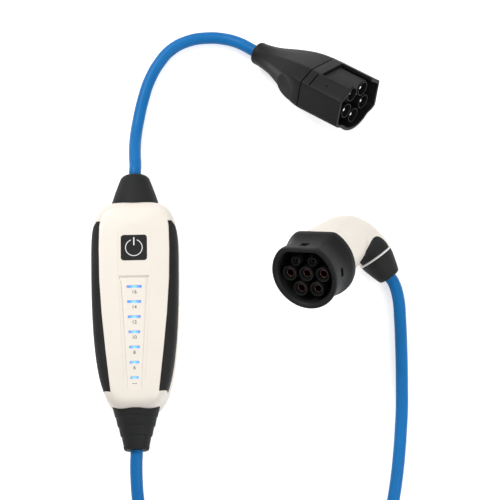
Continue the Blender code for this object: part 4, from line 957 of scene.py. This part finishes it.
def make_lower_relief():
    """A taper with three small ledges, then the flat end."""
    sections = [(-0.0140, 0.0262)]
    half = 0.0218
    for ledge in range(LEDGES):
        start = 0.0052 + ledge * LEDGE_PITCH
        half -= 0.0005
        sections += [(start, half), (start + 0.0003, half - 0.0006), (start + 0.0010, half - 0.0008)]
        half -= 0.0024
        sections.append((start + 0.0090, half))
    sections += [(0.0366, 0.0129), (LOWER_RELIEF_REACH - 0.0006, 0.0124), (LOWER_RELIEF_REACH, 0.0116)]
    make_relief("lower_strain_relief", SHELL_BOTTOM_Y, -1, sections, 0.0123)


def make_badge_mark():
    """A plain ring with a short bar at its top, printed on the badge."""
    low = FACE_HEIGHT - 0.00005
    high = FACE_HEIGHT + MARK_THICKNESS
    ring = loft("badge_mark_ring", rod(MARK_RADIUS, low, high, ROUND_STEPS, (0.0, BADGE_Y)))
    cut(ring, rod(MARK_RADIUS - MARK_LINE, low - 0.001, high + 0.001, ROUND_STEPS, (0.0, BADGE_Y)))
    cut(ring, block(0.0060, 0.0060, 0.0002, low - 0.001, high + 0.001, (0.0, BADGE_Y + 0.0095)))
    bar = loft("badge_mark_bar", block(0.0012, 0.0085, 0.0005, low, high, (0.0, BADGE_Y + 0.0065), 4))
    for piece in (ring, bar):
        piece.data.materials.append(PAINTS["print_white"])
        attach(piece, "root")


def make_labels():
    """Plain numbers under the light windows, and a short line under the last."""
    slope = math.atan2(CHANNEL_DEPTH - CHANNEL_END_DEPTH, CHANNEL_LENGTH)
    for index, words in enumerate(LABELS):
        name = "label_%d" % (index + 1)
        text = bpy.data.curves.new(name, "FONT")
        text.body = words
        text.size = LABEL_SIZE
        text.align_x = "CENTER"
        text.align_y = "CENTER"
        text.extrude = MARK_THICKNESS / 2
        text.materials.append(PAINTS["print_grey"])
        label = bpy.data.objects.new(name, text)
        SCENE.collection.objects.link(label)
        y = light_y(index) - LABEL_DROP
        label.location = (0.0, y, channel_floor(y) + MARK_THICKNESS / 2)
        label.rotation_euler = (-slope, 0.0, 0.0)
        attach(label, "root")


def make_control_box():
    make_front_shell()
    make_back_shell()
    make_grip("side_grip_left", -1)
    make_grip("side_grip_right", 1)
    make_upper_relief()
    make_lower_relief()
    make_badge_mark()
    make_labels()


# Supply connector

def supply_matrix():
    forward = direction(SUPPLY_AZIMUTH, SUPPLY_PITCH)
    side = Vector((-math.sin(SUPPLY_AZIMUTH), math.cos(SUPPLY_AZIMUTH), 0.0))
    up = math.cos(SUPPLY_ROLL) * side + math.sin(SUPPLY_ROLL) * forward.cross(side)
    return frame_matrix(up.cross(forward), up, forward, Vector(SUPPLY_TAIL_POINT) + forward * SUPPLY_LENGTH)


def rounded_corners(points, radius, steps=3):
    """Round each corner of a closed outline a little."""
    rounded = []
    for point, last, after in zip(points, points[-1:] + points[:-1], points[1:] + points[:1]):
        back = last - point
        ahead = after - point
        reach = min(radius, back.length * 0.4, ahead.length * 0.4)
        start = point + back.normalized() * reach
        end = point + ahead.normalized() * reach
        for step in range(steps + 1):
            share = step / steps
            rounded.append(start.lerp(point, share).lerp(point.lerp(end, share), share))
    return rounded


def with_more_points(points, longest):
    """The same closed outline, its long sides divided into short ones."""
    dense = []
    for point, after in zip(points, points[1:] + points[:1]):
        parts = max(1, math.ceil((after - point).length / longest))
        dense += [point.lerp(after, step / parts) for step in range(parts)]
    return dense


def supply_outline():
    """Section of the connector: flat top with chamfers, upright sides and a round belly."""
    half = [
        (SUPPLY_TOP_HALF_WIDTH, SUPPLY_TOP), (SUPPLY_HALF_WIDTH, SUPPLY_TOP - SUPPLY_CHAMFER_DROP),
        (SUPPLY_HALF_WIDTH, -SUPPLY_LOWER_CORNER),
        (SUPPLY_HALF_WIDTH - 0.0040, -SUPPLY_LOWER_CORNER - 0.0030),
    ]
    for degrees in range(42, 90, 8):
        angle = math.radians(degrees)
        half.append((SUPPLY_BELLY_RADIUS * math.cos(angle), -SUPPLY_BELLY_RADIUS * math.sin(angle)))
    left = [Vector((-x, y)) for x, y in reversed(half)]
    outline = vectors(half) + [Vector((0.0, -SUPPLY_BELLY_RADIUS))] + left
    return with_more_points(rounded_corners(outline, SUPPLY_CORNER)[::-1], SUPPLY_SIDE_STEP)


def supply_ring(back, inset=0.0, taper=0.0, top_taper=None):
    """The section a distance back from the rim, drawn in towards the round tail by a share."""
    if top_taper is None:
        top_taper = taper
    ring = []
    for point in supply_outline():
        upward = min(1.0, max(0.0, point.y / (SUPPLY_TOP - SUPPLY_CHAMFER_DROP)))
        tail_point = point.normalized() * SUPPLY_TAIL_RADIUS
        place = point.lerp(tail_point, taper + (top_taper - taper) * upward)
        reach_y = SUPPLY_TOP if place.y > 0 else SUPPLY_BELLY_RADIUS
        x = place.x * (1 - inset / SUPPLY_HALF_WIDTH)
        ring.append(Vector((x, place.y * (1 - inset / reach_y), -back)))
    return ring


def pin_rods(radius, low, high, segments=ROUND_STEPS):
    return [rod(radius, low, high, segments, spot) for spot in pin_places()]


def pin_places():
    """Five places on a circle, the first at the bottom."""
    angles = [math.radians(-90.0) + math.tau * index / PIN_COUNT for index in range(PIN_COUNT)]
    return [(PIN_CIRCLE * math.cos(angle), PIN_CIRCLE * math.sin(angle)) for angle in angles]


def chamfer(side):
    """Middle of an upper chamfer, the way down it and the way out of it."""
    width = SUPPLY_HALF_WIDTH - SUPPLY_TOP_HALF_WIDTH
    x = side * (SUPPLY_HALF_WIDTH + SUPPLY_TOP_HALF_WIDTH) / 2
    along = Vector((side * width, -SUPPLY_CHAMFER_DROP)).normalized()
    out = Vector((side * SUPPLY_CHAMFER_DROP, width)).normalized()
    return Vector((x, SUPPLY_TOP - SUPPLY_CHAMFER_DROP / 2)), along, out


def side_slit(side):
    """A narrow latch slit across an upper chamfer, behind the notch."""
    middle, along, out = chamfer(side)
    corners = ((-SLIT_HALF, -SLIT_DEPTH), (SLIT_HALF, -SLIT_DEPTH), (SLIT_HALF, 0.004), (-SLIT_HALF, 0.004))
    outline = [middle + along * reach + out * rise for reach, rise in corners]
    back = SUPPLY_NOTCH_DEPTH + 0.002
    return [level(outline, -back - SLIT_WIDTH), level(outline, -back)]


def peep_hole():
    """A small round hole in one chamfer, beside the notch."""
    middle, _, out = chamfer(-1)
    outward = out.to_3d()
    ahead = Vector((0.0, 0.0, 1.0))
    start = middle.to_3d() - ahead * PEEP_BACK - outward * 0.001
    hole = loft("peep_hole", rod(PEEP_RADIUS, -0.002, 0.030, 16))
    hole.data.transform(frame_matrix(ahead.cross(outward), ahead, outward, start))
    return hole


def make_supply_hood(place):
    back = SUPPLY_SEAM - GAP
    shape = ((back, 0.0001), (back - 0.0005, 0.0), (0.0008, 0.0), (0.0003, 0.0003), (0.0, 0.0009))
    hood = loft(look_name("supply_hood"), [supply_ring(distance, inset) for distance, inset in shape])
    cut(hood, [supply_ring(SUPPLY_CAVITY_DEPTH, SUPPLY_WALL), supply_ring(-0.01, SUPPLY_WALL)])
    width = 2 * SUPPLY_TOP_HALF_WIDTH - 0.002
    cut(hood, block(width, 0.024, 0.0005, -SUPPLY_NOTCH_DEPTH, 0.01, (0.0, SUPPLY_TOP)))
    cut(hood, side_slit(-1), side_slit(1))
    boolean(hood, peep_hole())
    dress(hood, "supply_hood", 30.0, place)


def make_supply_handle(place):
    """The handle, drawn down smoothly to its round tail, with a raised arched panel on each side."""
    stations = (
        (0.0, 1.0, 1.0), (0.008, 0.99, 0.98), (0.022, 0.88, 0.80), (0.036, 0.68, 0.52), (0.050, 0.44, 0.26),
        (0.062, 0.22, 0.09), (0.072, 0.06, 0.01), (SUPPLY_LENGTH - SUPPLY_SEAM - 0.001, 0.0, 0.0),
    )
    rings = [supply_ring(SUPPLY_LENGTH, 0.0034, 1.0), supply_ring(SUPPLY_LENGTH - 0.0006, 0.0016, 1.0)]
    for ahead, side, top in smooth_stations(stations, 4):
        back = SUPPLY_LENGTH - max(0.0020, ahead)
        rings.append(supply_ring(back, 0.0002, min(1.0, max(0.0, side)), min(1.0, max(0.0, top))))
    handle = loft(look_name("supply_handle"), rings)
    join(handle, side_panel(-1), side_panel(1))
    dress(handle, "supply_handle", 24.0, place)


def side_panel(side):
    """An arched panel that leans in towards the tail, with a soft edge."""
    outline = []
    for degrees in range(0, 181, 12):
        angle = math.radians(degrees)
        outline.append((PANEL_HALF * math.cos(angle), 0.012 + 0.022 * math.sin(angle)))
    outline += [(-PANEL_HALF, 0.0006), (PANEL_HALF, 0.0006)]
    outer = SUPPLY_HALF_WIDTH - 0.0008
    root = [Vector((side * (SUPPLY_HALF_WIDTH - 0.016), y, -SUPPLY_SEAM - back)) for y, back in outline]
    rings = [root]
    for sink, narrow, shorten in ((0.0006, 1.0, 1.0), (0.0, 0.93, 0.96)):
        rings.append([
            Vector((side * (outer - sink - PANEL_LEAN * back), y * narrow, -SUPPLY_SEAM - back * shorten))
            for y, back in outline
        ])
    return rings


def make_supply_insulator(place):
    insulator = loft(look_name("supply_insulator"), [
        supply_ring(INSULATOR_FLOOR + 0.002, CORE_INSET), supply_ring(CORE_RECESS, CORE_INSET),
    ])
    inset = SUPPLY_WALL + GAP
    join(insulator, [supply_ring(SUPPLY_CAVITY_DEPTH - GAP, inset), supply_ring(INSULATOR_FLOOR, inset)])
    join(insulator, *pin_rods(WELL_RADIUS + WELL_WALL, -INSULATOR_FLOOR - 0.001, -INSULATOR_RECESS))
    height = BLOCK_TOP - PIN_CIRCLE / 2
    centre = ((BLOCK_LEFT + BLOCK_RIGHT) / 2, BLOCK_TOP - height / 2)
    low = -SUPPLY_NOTCH_DEPTH + 2 * GAP
    width = BLOCK_RIGHT - BLOCK_LEFT
    join(insulator, block(width, height, 0.0008, low, -INSULATOR_RECESS - 0.0010, centre, 4))
    cut(insulator, *pin_rods(WELL_RADIUS, -INSULATOR_RECESS - WELL_DEPTH, 0.005))
    cut(insulator, *pin_rods(PIN_RADIUS + GAP, -SUPPLY_CAVITY_DEPTH + PIN_SEAT, 0.005, 24))
    dress(insulator, "supply_insulator", 30.0, place)


def make_supply_pins(place):
    for index, spot in enumerate(pin_places()):
        rings = [circle(PIN_RADIUS, -SUPPLY_CAVITY_DEPTH + PIN_SEAT + GAP, 24, spot)]
        for step in range(7):
            angle = math.pi / 2 * step / 6.5
            height = -PIN_RECESS - PIN_TIP + PIN_TIP * math.sin(angle)
            rings.append(circle(PIN_RADIUS * math.cos(angle), height, 24, spot))
        node = "supply_pin_%d" % (index + 1)
        dress(loft(look_name(node), rings), node, 35.0, place)


def make_supply_connector():
    place = supply_matrix()
    for make in (make_supply_hood, make_supply_handle, make_supply_insulator, make_supply_pins):
        make(place)


# Vehicle connector

def exit_axes():
    """Sideways, depth and the way out of the elbow, which is turned from straight down by its roll."""
    outward = Vector((math.sin(ELBOW_ROLL), -math.cos(ELBOW_ROLL), 0.0))
    across = BACK.cross(outward)
    return across, across.cross(outward), outward


def vehicle_matrix():
    forward, outward = vehicle_axes()
    right = math.sin(ELBOW_ROLL) * outward + math.cos(ELBOW_ROLL) * (-outward).cross(forward)
    out_length = ELBOW_BEND_RADIUS + ELBOW_EXIT + RING_THICKNESS + 2 * GAP + CONE_LENGTH
    back_length = NOSE_LENGTH + ELBOW_STRAIGHT + ELBOW_BEND_RADIUS
    origin = Vector(VEHICLE_CONE_END) - outward * out_length + forward * back_length
    return frame_matrix(right, forward.cross(right), forward, origin)


def nose_ring(back, radius):
    """A circle with a flat top and soft corners, a distance back from the rim."""
    flat = radius * NOSE_FLAT_SHARE
    points = circle(radius, -back, NOSE_STEPS)
    return [Vector((point.x, soft_limit(point.y, flat, NOSE_SOFTNESS), point.z)) for point in points]


def make_nose(place):
    """The shroud: a rounded rim, a soft waist and a wide rear flange, with its latch holes."""
    flange = NOSE_FLANGE_RADIUS
    waist = NOSE_WAIST_RADIUS
    bore = NOSE_RADIUS - NOSE_WALL
    profile = (
        (NOSE_LENGTH, flange - 0.0014), (NOSE_LENGTH - 0.0004, flange - 0.0005),
        (NOSE_LENGTH - 0.0012, flange), (0.0362, flange), (0.0335, flange - 0.0004),
        (0.0300, waist + 0.0020), (0.0255, waist + 0.0006),
        (0.0200, waist), (0.0140, waist + 0.0003), (0.0080, waist + 0.0011), (0.0036, NOSE_RADIUS),
        (0.0016, NOSE_RADIUS - 0.0001), (0.0004, NOSE_RADIUS - 0.0009), (0.0, NOSE_RADIUS - 0.0019),
    )
    mouth = (
        (NOSE_FLOOR, bore), (0.0040, bore), (0.0024, bore + 0.0003), (0.0010, bore + 0.0014),
        (0.0002, bore + 0.0028), (-0.0015, bore + 0.0052),
    )
    nose = loft(look_name("vehicle_nose"), [nose_ring(*station) for station in smooth_stations(profile, 3)])
    cut(nose, [nose_ring(*station) for station in mouth])
    low = -LATCH_DEPTH - LATCH_HOLE / 2
    holes = [block(LATCH_HOLE, 0.012, 0.001, low, low + LATCH_HOLE, (0.0, NOSE_RADIUS * NOSE_FLAT_SHARE), 4)]
    for side in (-1, 1):
        holes.append(block(0.014, 0.009, 0.001, low - 0.003, low + 0.002, (side * NOSE_RADIUS, -0.0020), 4))
    cut(nose, *holes)
    dress(nose, "vehicle_nose", 30.0, place)


def contact_places():
    """Name, place and sizes of all seven contacts: tower radius, lip, socket radius and its bore."""
    half = CONTACT_PITCH / 2
    lower = -CONTACT_PITCH * math.sin(math.radians(60.0))
    large = (TOWER_RADIUS, TOWER_LIP, SOCKET_RADIUS, SOCKET_BORE)
    small = (SMALL_TOWER_RADIUS, SMALL_TOWER_LIP, SMALL_SOCKET_RADIUS, SMALL_SOCKET_BORE)
    return (
        ("contact_earth", (0.0, 0.0), large), ("contact_neutral", (-2 * half, 0.0), large),
        ("contact_line_1", (2 * half, 0.0), large), ("contact_line_2", (half, lower), large),
        ("contact_line_3", (-half, lower), large), ("contact_pilot", (-half, SIGNAL_CONTACT_RISE), small),
        ("contact_proximity", (half, SIGNAL_CONTACT_RISE), small),
    )


def make_carrier(place):
    """The contact carrier: a base with one hollow, thin-lipped tower for each contact."""
    base_radius = NOSE_RADIUS - NOSE_WALL - GAP
    base_top = NOSE_FLOOR - GAP - CARRIER_BASE
    base = [nose_ring(NOSE_FLOOR - GAP, base_radius), nose_ring(base_top, base_radius)]
    carrier = loft(look_name("contact_carrier"), base)
    towers = []
    bores = []
    mouths = []
    socket_top = -TOWER_RECESS - SOCKET_RECESS
    for _, spot, (radius, lip, socket, _) in contact_places():
        shape = (
            (radius, -base_top - 0.002), (radius, -TOWER_RECESS - 0.0006), (radius - 0.0005, -TOWER_RECESS),
        )
        towers.append([circle(reach, height, ROUND_STEPS, spot) for reach, height in shape])
        bores.append(rod(socket + GAP, socket_top - SOCKET_LENGTH - GAP, 0.005, ROUND_STEPS, spot))
        mouths.append(rod(radius - lip, socket_top - 0.0010, 0.005, ROUND_STEPS, spot))
    join(carrier, *towers)
    cut(carrier, *bores)
    cut(carrier, *mouths)
    dress(carrier, "contact_carrier", 30.0, place)


def make_contacts(place):
    """Sockets: round-lipped tubes closed at their feet."""
    for node, spot, (_, _, radius, bore) in contact_places():
        foot = -TOWER_RECESS - SOCKET_RECESS - SOCKET_LENGTH
        lip = (radius - bore) / 2
        top = -TOWER_RECESS - SOCKET_RECESS - lip
        rings = [circle(radius, foot, ROUND_STEPS, spot)]
        for step in range(7):
            angle = math.pi * step / 6
            reach = (radius + bore) / 2 + lip * math.cos(angle)
            rings.append(circle(reach, top + lip * math.sin(angle), ROUND_STEPS, spot))
        rings.append(circle(bore, foot + 0.002, ROUND_STEPS, spot))
        dress(loft(look_name(node), rings), node, 35.0, place)


def bend_station(angle):
    """Centre and heading of the elbow at an angle round its bend."""
    outward = exit_axes()[2]
    way = BACK * math.sin(angle) + outward * (1 - math.cos(angle))
    heading = BACK * math.cos(angle) + outward * math.sin(angle)
    return BEND_START + way * ELBOW_BEND_RADIUS, heading


def elbow_stations():
    """Centre, heading, radius and share of the flat top along the elbow, from the flange to the ring."""
    stations = []
    for step in range(ELBOW_STEPS + 1):
        share = step / ELBOW_STEPS
        radius = ELBOW_START_RADIUS + (ELBOW_BEND_START_RADIUS - ELBOW_START_RADIUS) * share ** 0.8
        centre = BACK * (NOSE_LENGTH + GAP + (ELBOW_STRAIGHT - GAP) * share)
        stations.append((centre, BACK, radius, 1.0 - 0.6 * share))
    narrowing = ELBOW_END_RADIUS + ELBOW_FLARE - ELBOW_BEND_START_RADIUS
    for step in range(1, ELBOW_STEPS + 1):
        angle = math.pi / 2 * step / ELBOW_STEPS
        radius = ELBOW_BEND_START_RADIUS + narrowing * math.sin(angle) ** 0.9
        stations.append((*bend_station(angle), radius, max(0.0, 0.4 - 1.4 * step / ELBOW_STEPS)))
    outward = exit_axes()[2]
    end = BEND_START + (BACK + outward) * ELBOW_BEND_RADIUS
    stations.append((end + outward * ELBOW_EXIT, outward, ELBOW_END_RADIUS, 0.0))
    return stations


def elbow_solid(inset, name="elbow"):
    across = exit_axes()[0]
    rings = []
    for centre, heading, radius, flatten in elbow_stations():
        normal = across.cross(heading)
        limit = radius * (NOSE_FLAT_SHARE * flatten + (1 - flatten)) - inset
        ring = []
        for index in range(NOSE_STEPS):
            angle = math.tau * index / NOSE_STEPS
            reach = (radius - inset) * (across * math.cos(angle) + normal * math.sin(angle))
            if flatten > 0:
                reach.y = soft_limit(reach.y, limit, NOSE_SOFTNESS)
            ring.append(centre + reach)
        rings.append(ring)
    return loft(name, rings)


def elbow_spot(reach, turn, share):
    """A point by its reach from the ring up the elbow, its turn round it and its share of the radius."""
    across = exit_axes()[0]
    angle = math.pi / 2 - max(0.0, reach - ELBOW_EXIT) / ELBOW_BEND_RADIUS
    centre, heading = bend_station(angle)
    centre += exit_axes()[2] * max(0.0, ELBOW_EXIT - reach)
    widening = (ELBOW_BEND_START_RADIUS - ELBOW_END_RADIUS) * (1 - math.sin(angle) ** 0.9)
    side = across * math.cos(turn) + across.cross(heading) * math.sin(turn)
    return centre + side * (ELBOW_END_RADIUS + widening) * share


def tongue_region(name, grow):
    """A leaf on the elbow's side, from the ring up: rows that reach from well inside to well outside."""
    full_reach = ELBOW_EXIT + TONGUE_BEND_REACH * ELBOW_BEND_RADIUS
    across = [2 * step / TONGUE_ROWS - 1 for step in range(TONGUE_ROWS + 1)]
    rings = []
    for row in range(TONGUE_ROWS + 1):
        share = row / TONGUE_ROWS
        reach = TONGUE_START - grow + (full_reach - TONGUE_START + 2 * grow) * share
        half_turn = TONGUE_HALF_TURN * max(TONGUE_TIP, 1 - share ** 2.2) ** 0.62 + grow / ELBOW_END_RADIUS
        turns = [TONGUE_MIDDLE + half_turn * place for place in across]
        outer = [elbow_spot(reach, turn, TONGUE_OUTSIDE) for turn in turns]
        rings.append(outer + [elbow_spot(reach, turn, TONGUE_INSIDE) for turn in reversed(turns)])
    return loft(name, rings)


def ring_centre():
    back = Vector((0.0, 0.0, -NOSE_LENGTH - ELBOW_STRAIGHT - ELBOW_BEND_RADIUS))
    return back + exit_axes()[2] * (ELBOW_BEND_RADIUS + ELBOW_EXIT)


def make_elbow(place):
    elbow = elbow_solid(0.0, look_name("vehicle_elbow"))
    cut(elbow, at_exit(rod(SPIGOT_RADIUS + GAP, -SPIGOT_LENGTH - GAP, 0.004, 32)))
    boolean(elbow, boolean(tongue_region("tongue_pocket", GAP), elbow_solid(TONGUE_DEPTH + GAP)))
    dress(elbow, "vehicle_elbow", 30.0, place)


def make_tongue(place):
    tongue = tongue_region(look_name("grip_tongue"), 0.0)
    boolean(tongue, elbow_solid(-0.0002), "INTERSECT")
    boolean(tongue, elbow_solid(TONGUE_DEPTH))
    dress(tongue, "grip_tongue", 40.0, place)


def at_exit(stack):
    """Place rings stacked up Z on the elbow's way out, from the ring's seat."""
    across, depth, outward = exit_axes()
    return [[ring_centre() + across * p.x + depth * p.y + outward * p.z for p in ring] for ring in stack]


def make_trim_ring(place):
    edge = ELBOW_END_RADIUS + 0.0004
    low = GAP
    high = GAP + RING_THICKNESS
    shape = ((edge - 0.0003, low), (edge, low + 0.0003), (edge, high - 0.0003), (edge - 0.0003, high))
    rings = [circle(radius, height, NOSE_STEPS) for radius, height in shape]
    ring = loft(look_name("trim_ring"), at_exit(rings))
    cut(ring, at_exit(rod(SPIGOT_RADIUS + GAP, -0.002, high + 0.002, 32)))
    dress(ring, "trim_ring", 50.0, place)


def make_cone(place):
    """The tapered strain relief, rounded over at its end."""
    low = RING_THICKNESS + 2 * GAP
    shape = (
        (0.0, 0.0182), (0.20, 0.0173), (0.45, 0.0156), (0.70, 0.0137), (0.88, 0.0122), (0.96, 0.0111),
        (0.995, 0.0092),
    )
    rings = rod(SPIGOT_RADIUS, -SPIGOT_LENGTH, low, NOSE_STEPS)
    for share, radius in smooth_stations(shape, 4):
        rings.append(circle(radius, low + share * CONE_LENGTH, NOSE_STEPS))
    dress(loft(look_name("vehicle_strain_relief"), at_exit(rings)), "vehicle_strain_relief", 40.0, place)


def make_vehicle_connector():
    place = vehicle_matrix()
    for make in (make_nose, make_carrier, make_contacts, make_elbow, make_tongue, make_trim_ring, make_cone):
        make(place)


# Floor and light

def floor_paint():
    """A white floor that glows a little wherever it is seen, so that its shadows stay faint."""
    paint = new_paint("floor", FLOOR_COLOUR, 0.9)
    rays = add_node(paint, "LightPath", {}).outputs
    seen = add_math(paint, "MAXIMUM", rays["Is Camera Ray"], rays["Is Glossy Ray"])
    seen = add_math(paint, "MAXIMUM", seen, rays["Is Transmission Ray"])
    glow = add_node(paint, "Emission", {"Strength": add_math(paint, "MULTIPLY", seen, FLOOR_GLOW)})
    nodes = paint.node_tree.nodes
    shader = nodes["Principled BSDF"].outputs["BSDF"]
    both = add_node(paint, "AddShader", {0: shader, 1: glow.outputs["Emission"]})
    give(paint, nodes["Material Output"], {"Surface": both.outputs["Shader"]})
    return paint


def make_floor():
    mesh = bpy.data.meshes.new("floor")
    corners = ((-1, -1), (1, -1), (1, 1), (-1, 1))
    points = [(x * FLOOR_REACH, y * FLOOR_REACH, -FLOOR_DROP) for x, y in corners]
    mesh.from_pydata(points, [], [(0, 1, 2, 3)])
    mesh.materials.append(floor_paint())
    floor = bpy.data.objects.new("floor", mesh)
    SCENE.collection.objects.link(floor)


def make_light(name, place, power, size):
    light = bpy.data.lights.new(name, "AREA")
    light.shape = "DISK"
    light.size = size
    light.energy = power
    holder = bpy.data.objects.new(name, light)
    holder.location = place
    aim = Vector(LIGHT_TARGET) - Vector(place)
    holder.rotation_euler = aim.to_track_quat("-Z", "Y").to_euler()
    SCENE.collection.objects.link(holder)


def make_lights():
    SCENE.world = SCENE.world or bpy.data.worlds.new("world")
    SCENE.world.use_nodes = True
    background = SCENE.world.node_tree.nodes["Background"]
    background.inputs["Color"].default_value = (1, 1, 1, 1)
    background.inputs["Strength"].default_value = WORLD_STRENGTH
    make_light("key", KEY_PLACE, KEY_POWER, KEY_SIZE)
    make_light("fill", FILL_PLACE, FILL_POWER, FILL_SIZE)


SCENE.view_settings.view_transform = "Standard"
make_camera()
PAINTS = make_paints()
dress_nodes()
make_control_box()
make_supply_connector()
make_vehicle_connector()
make_supply_lead()
make_charging_cable()
make_floor()
make_lights()
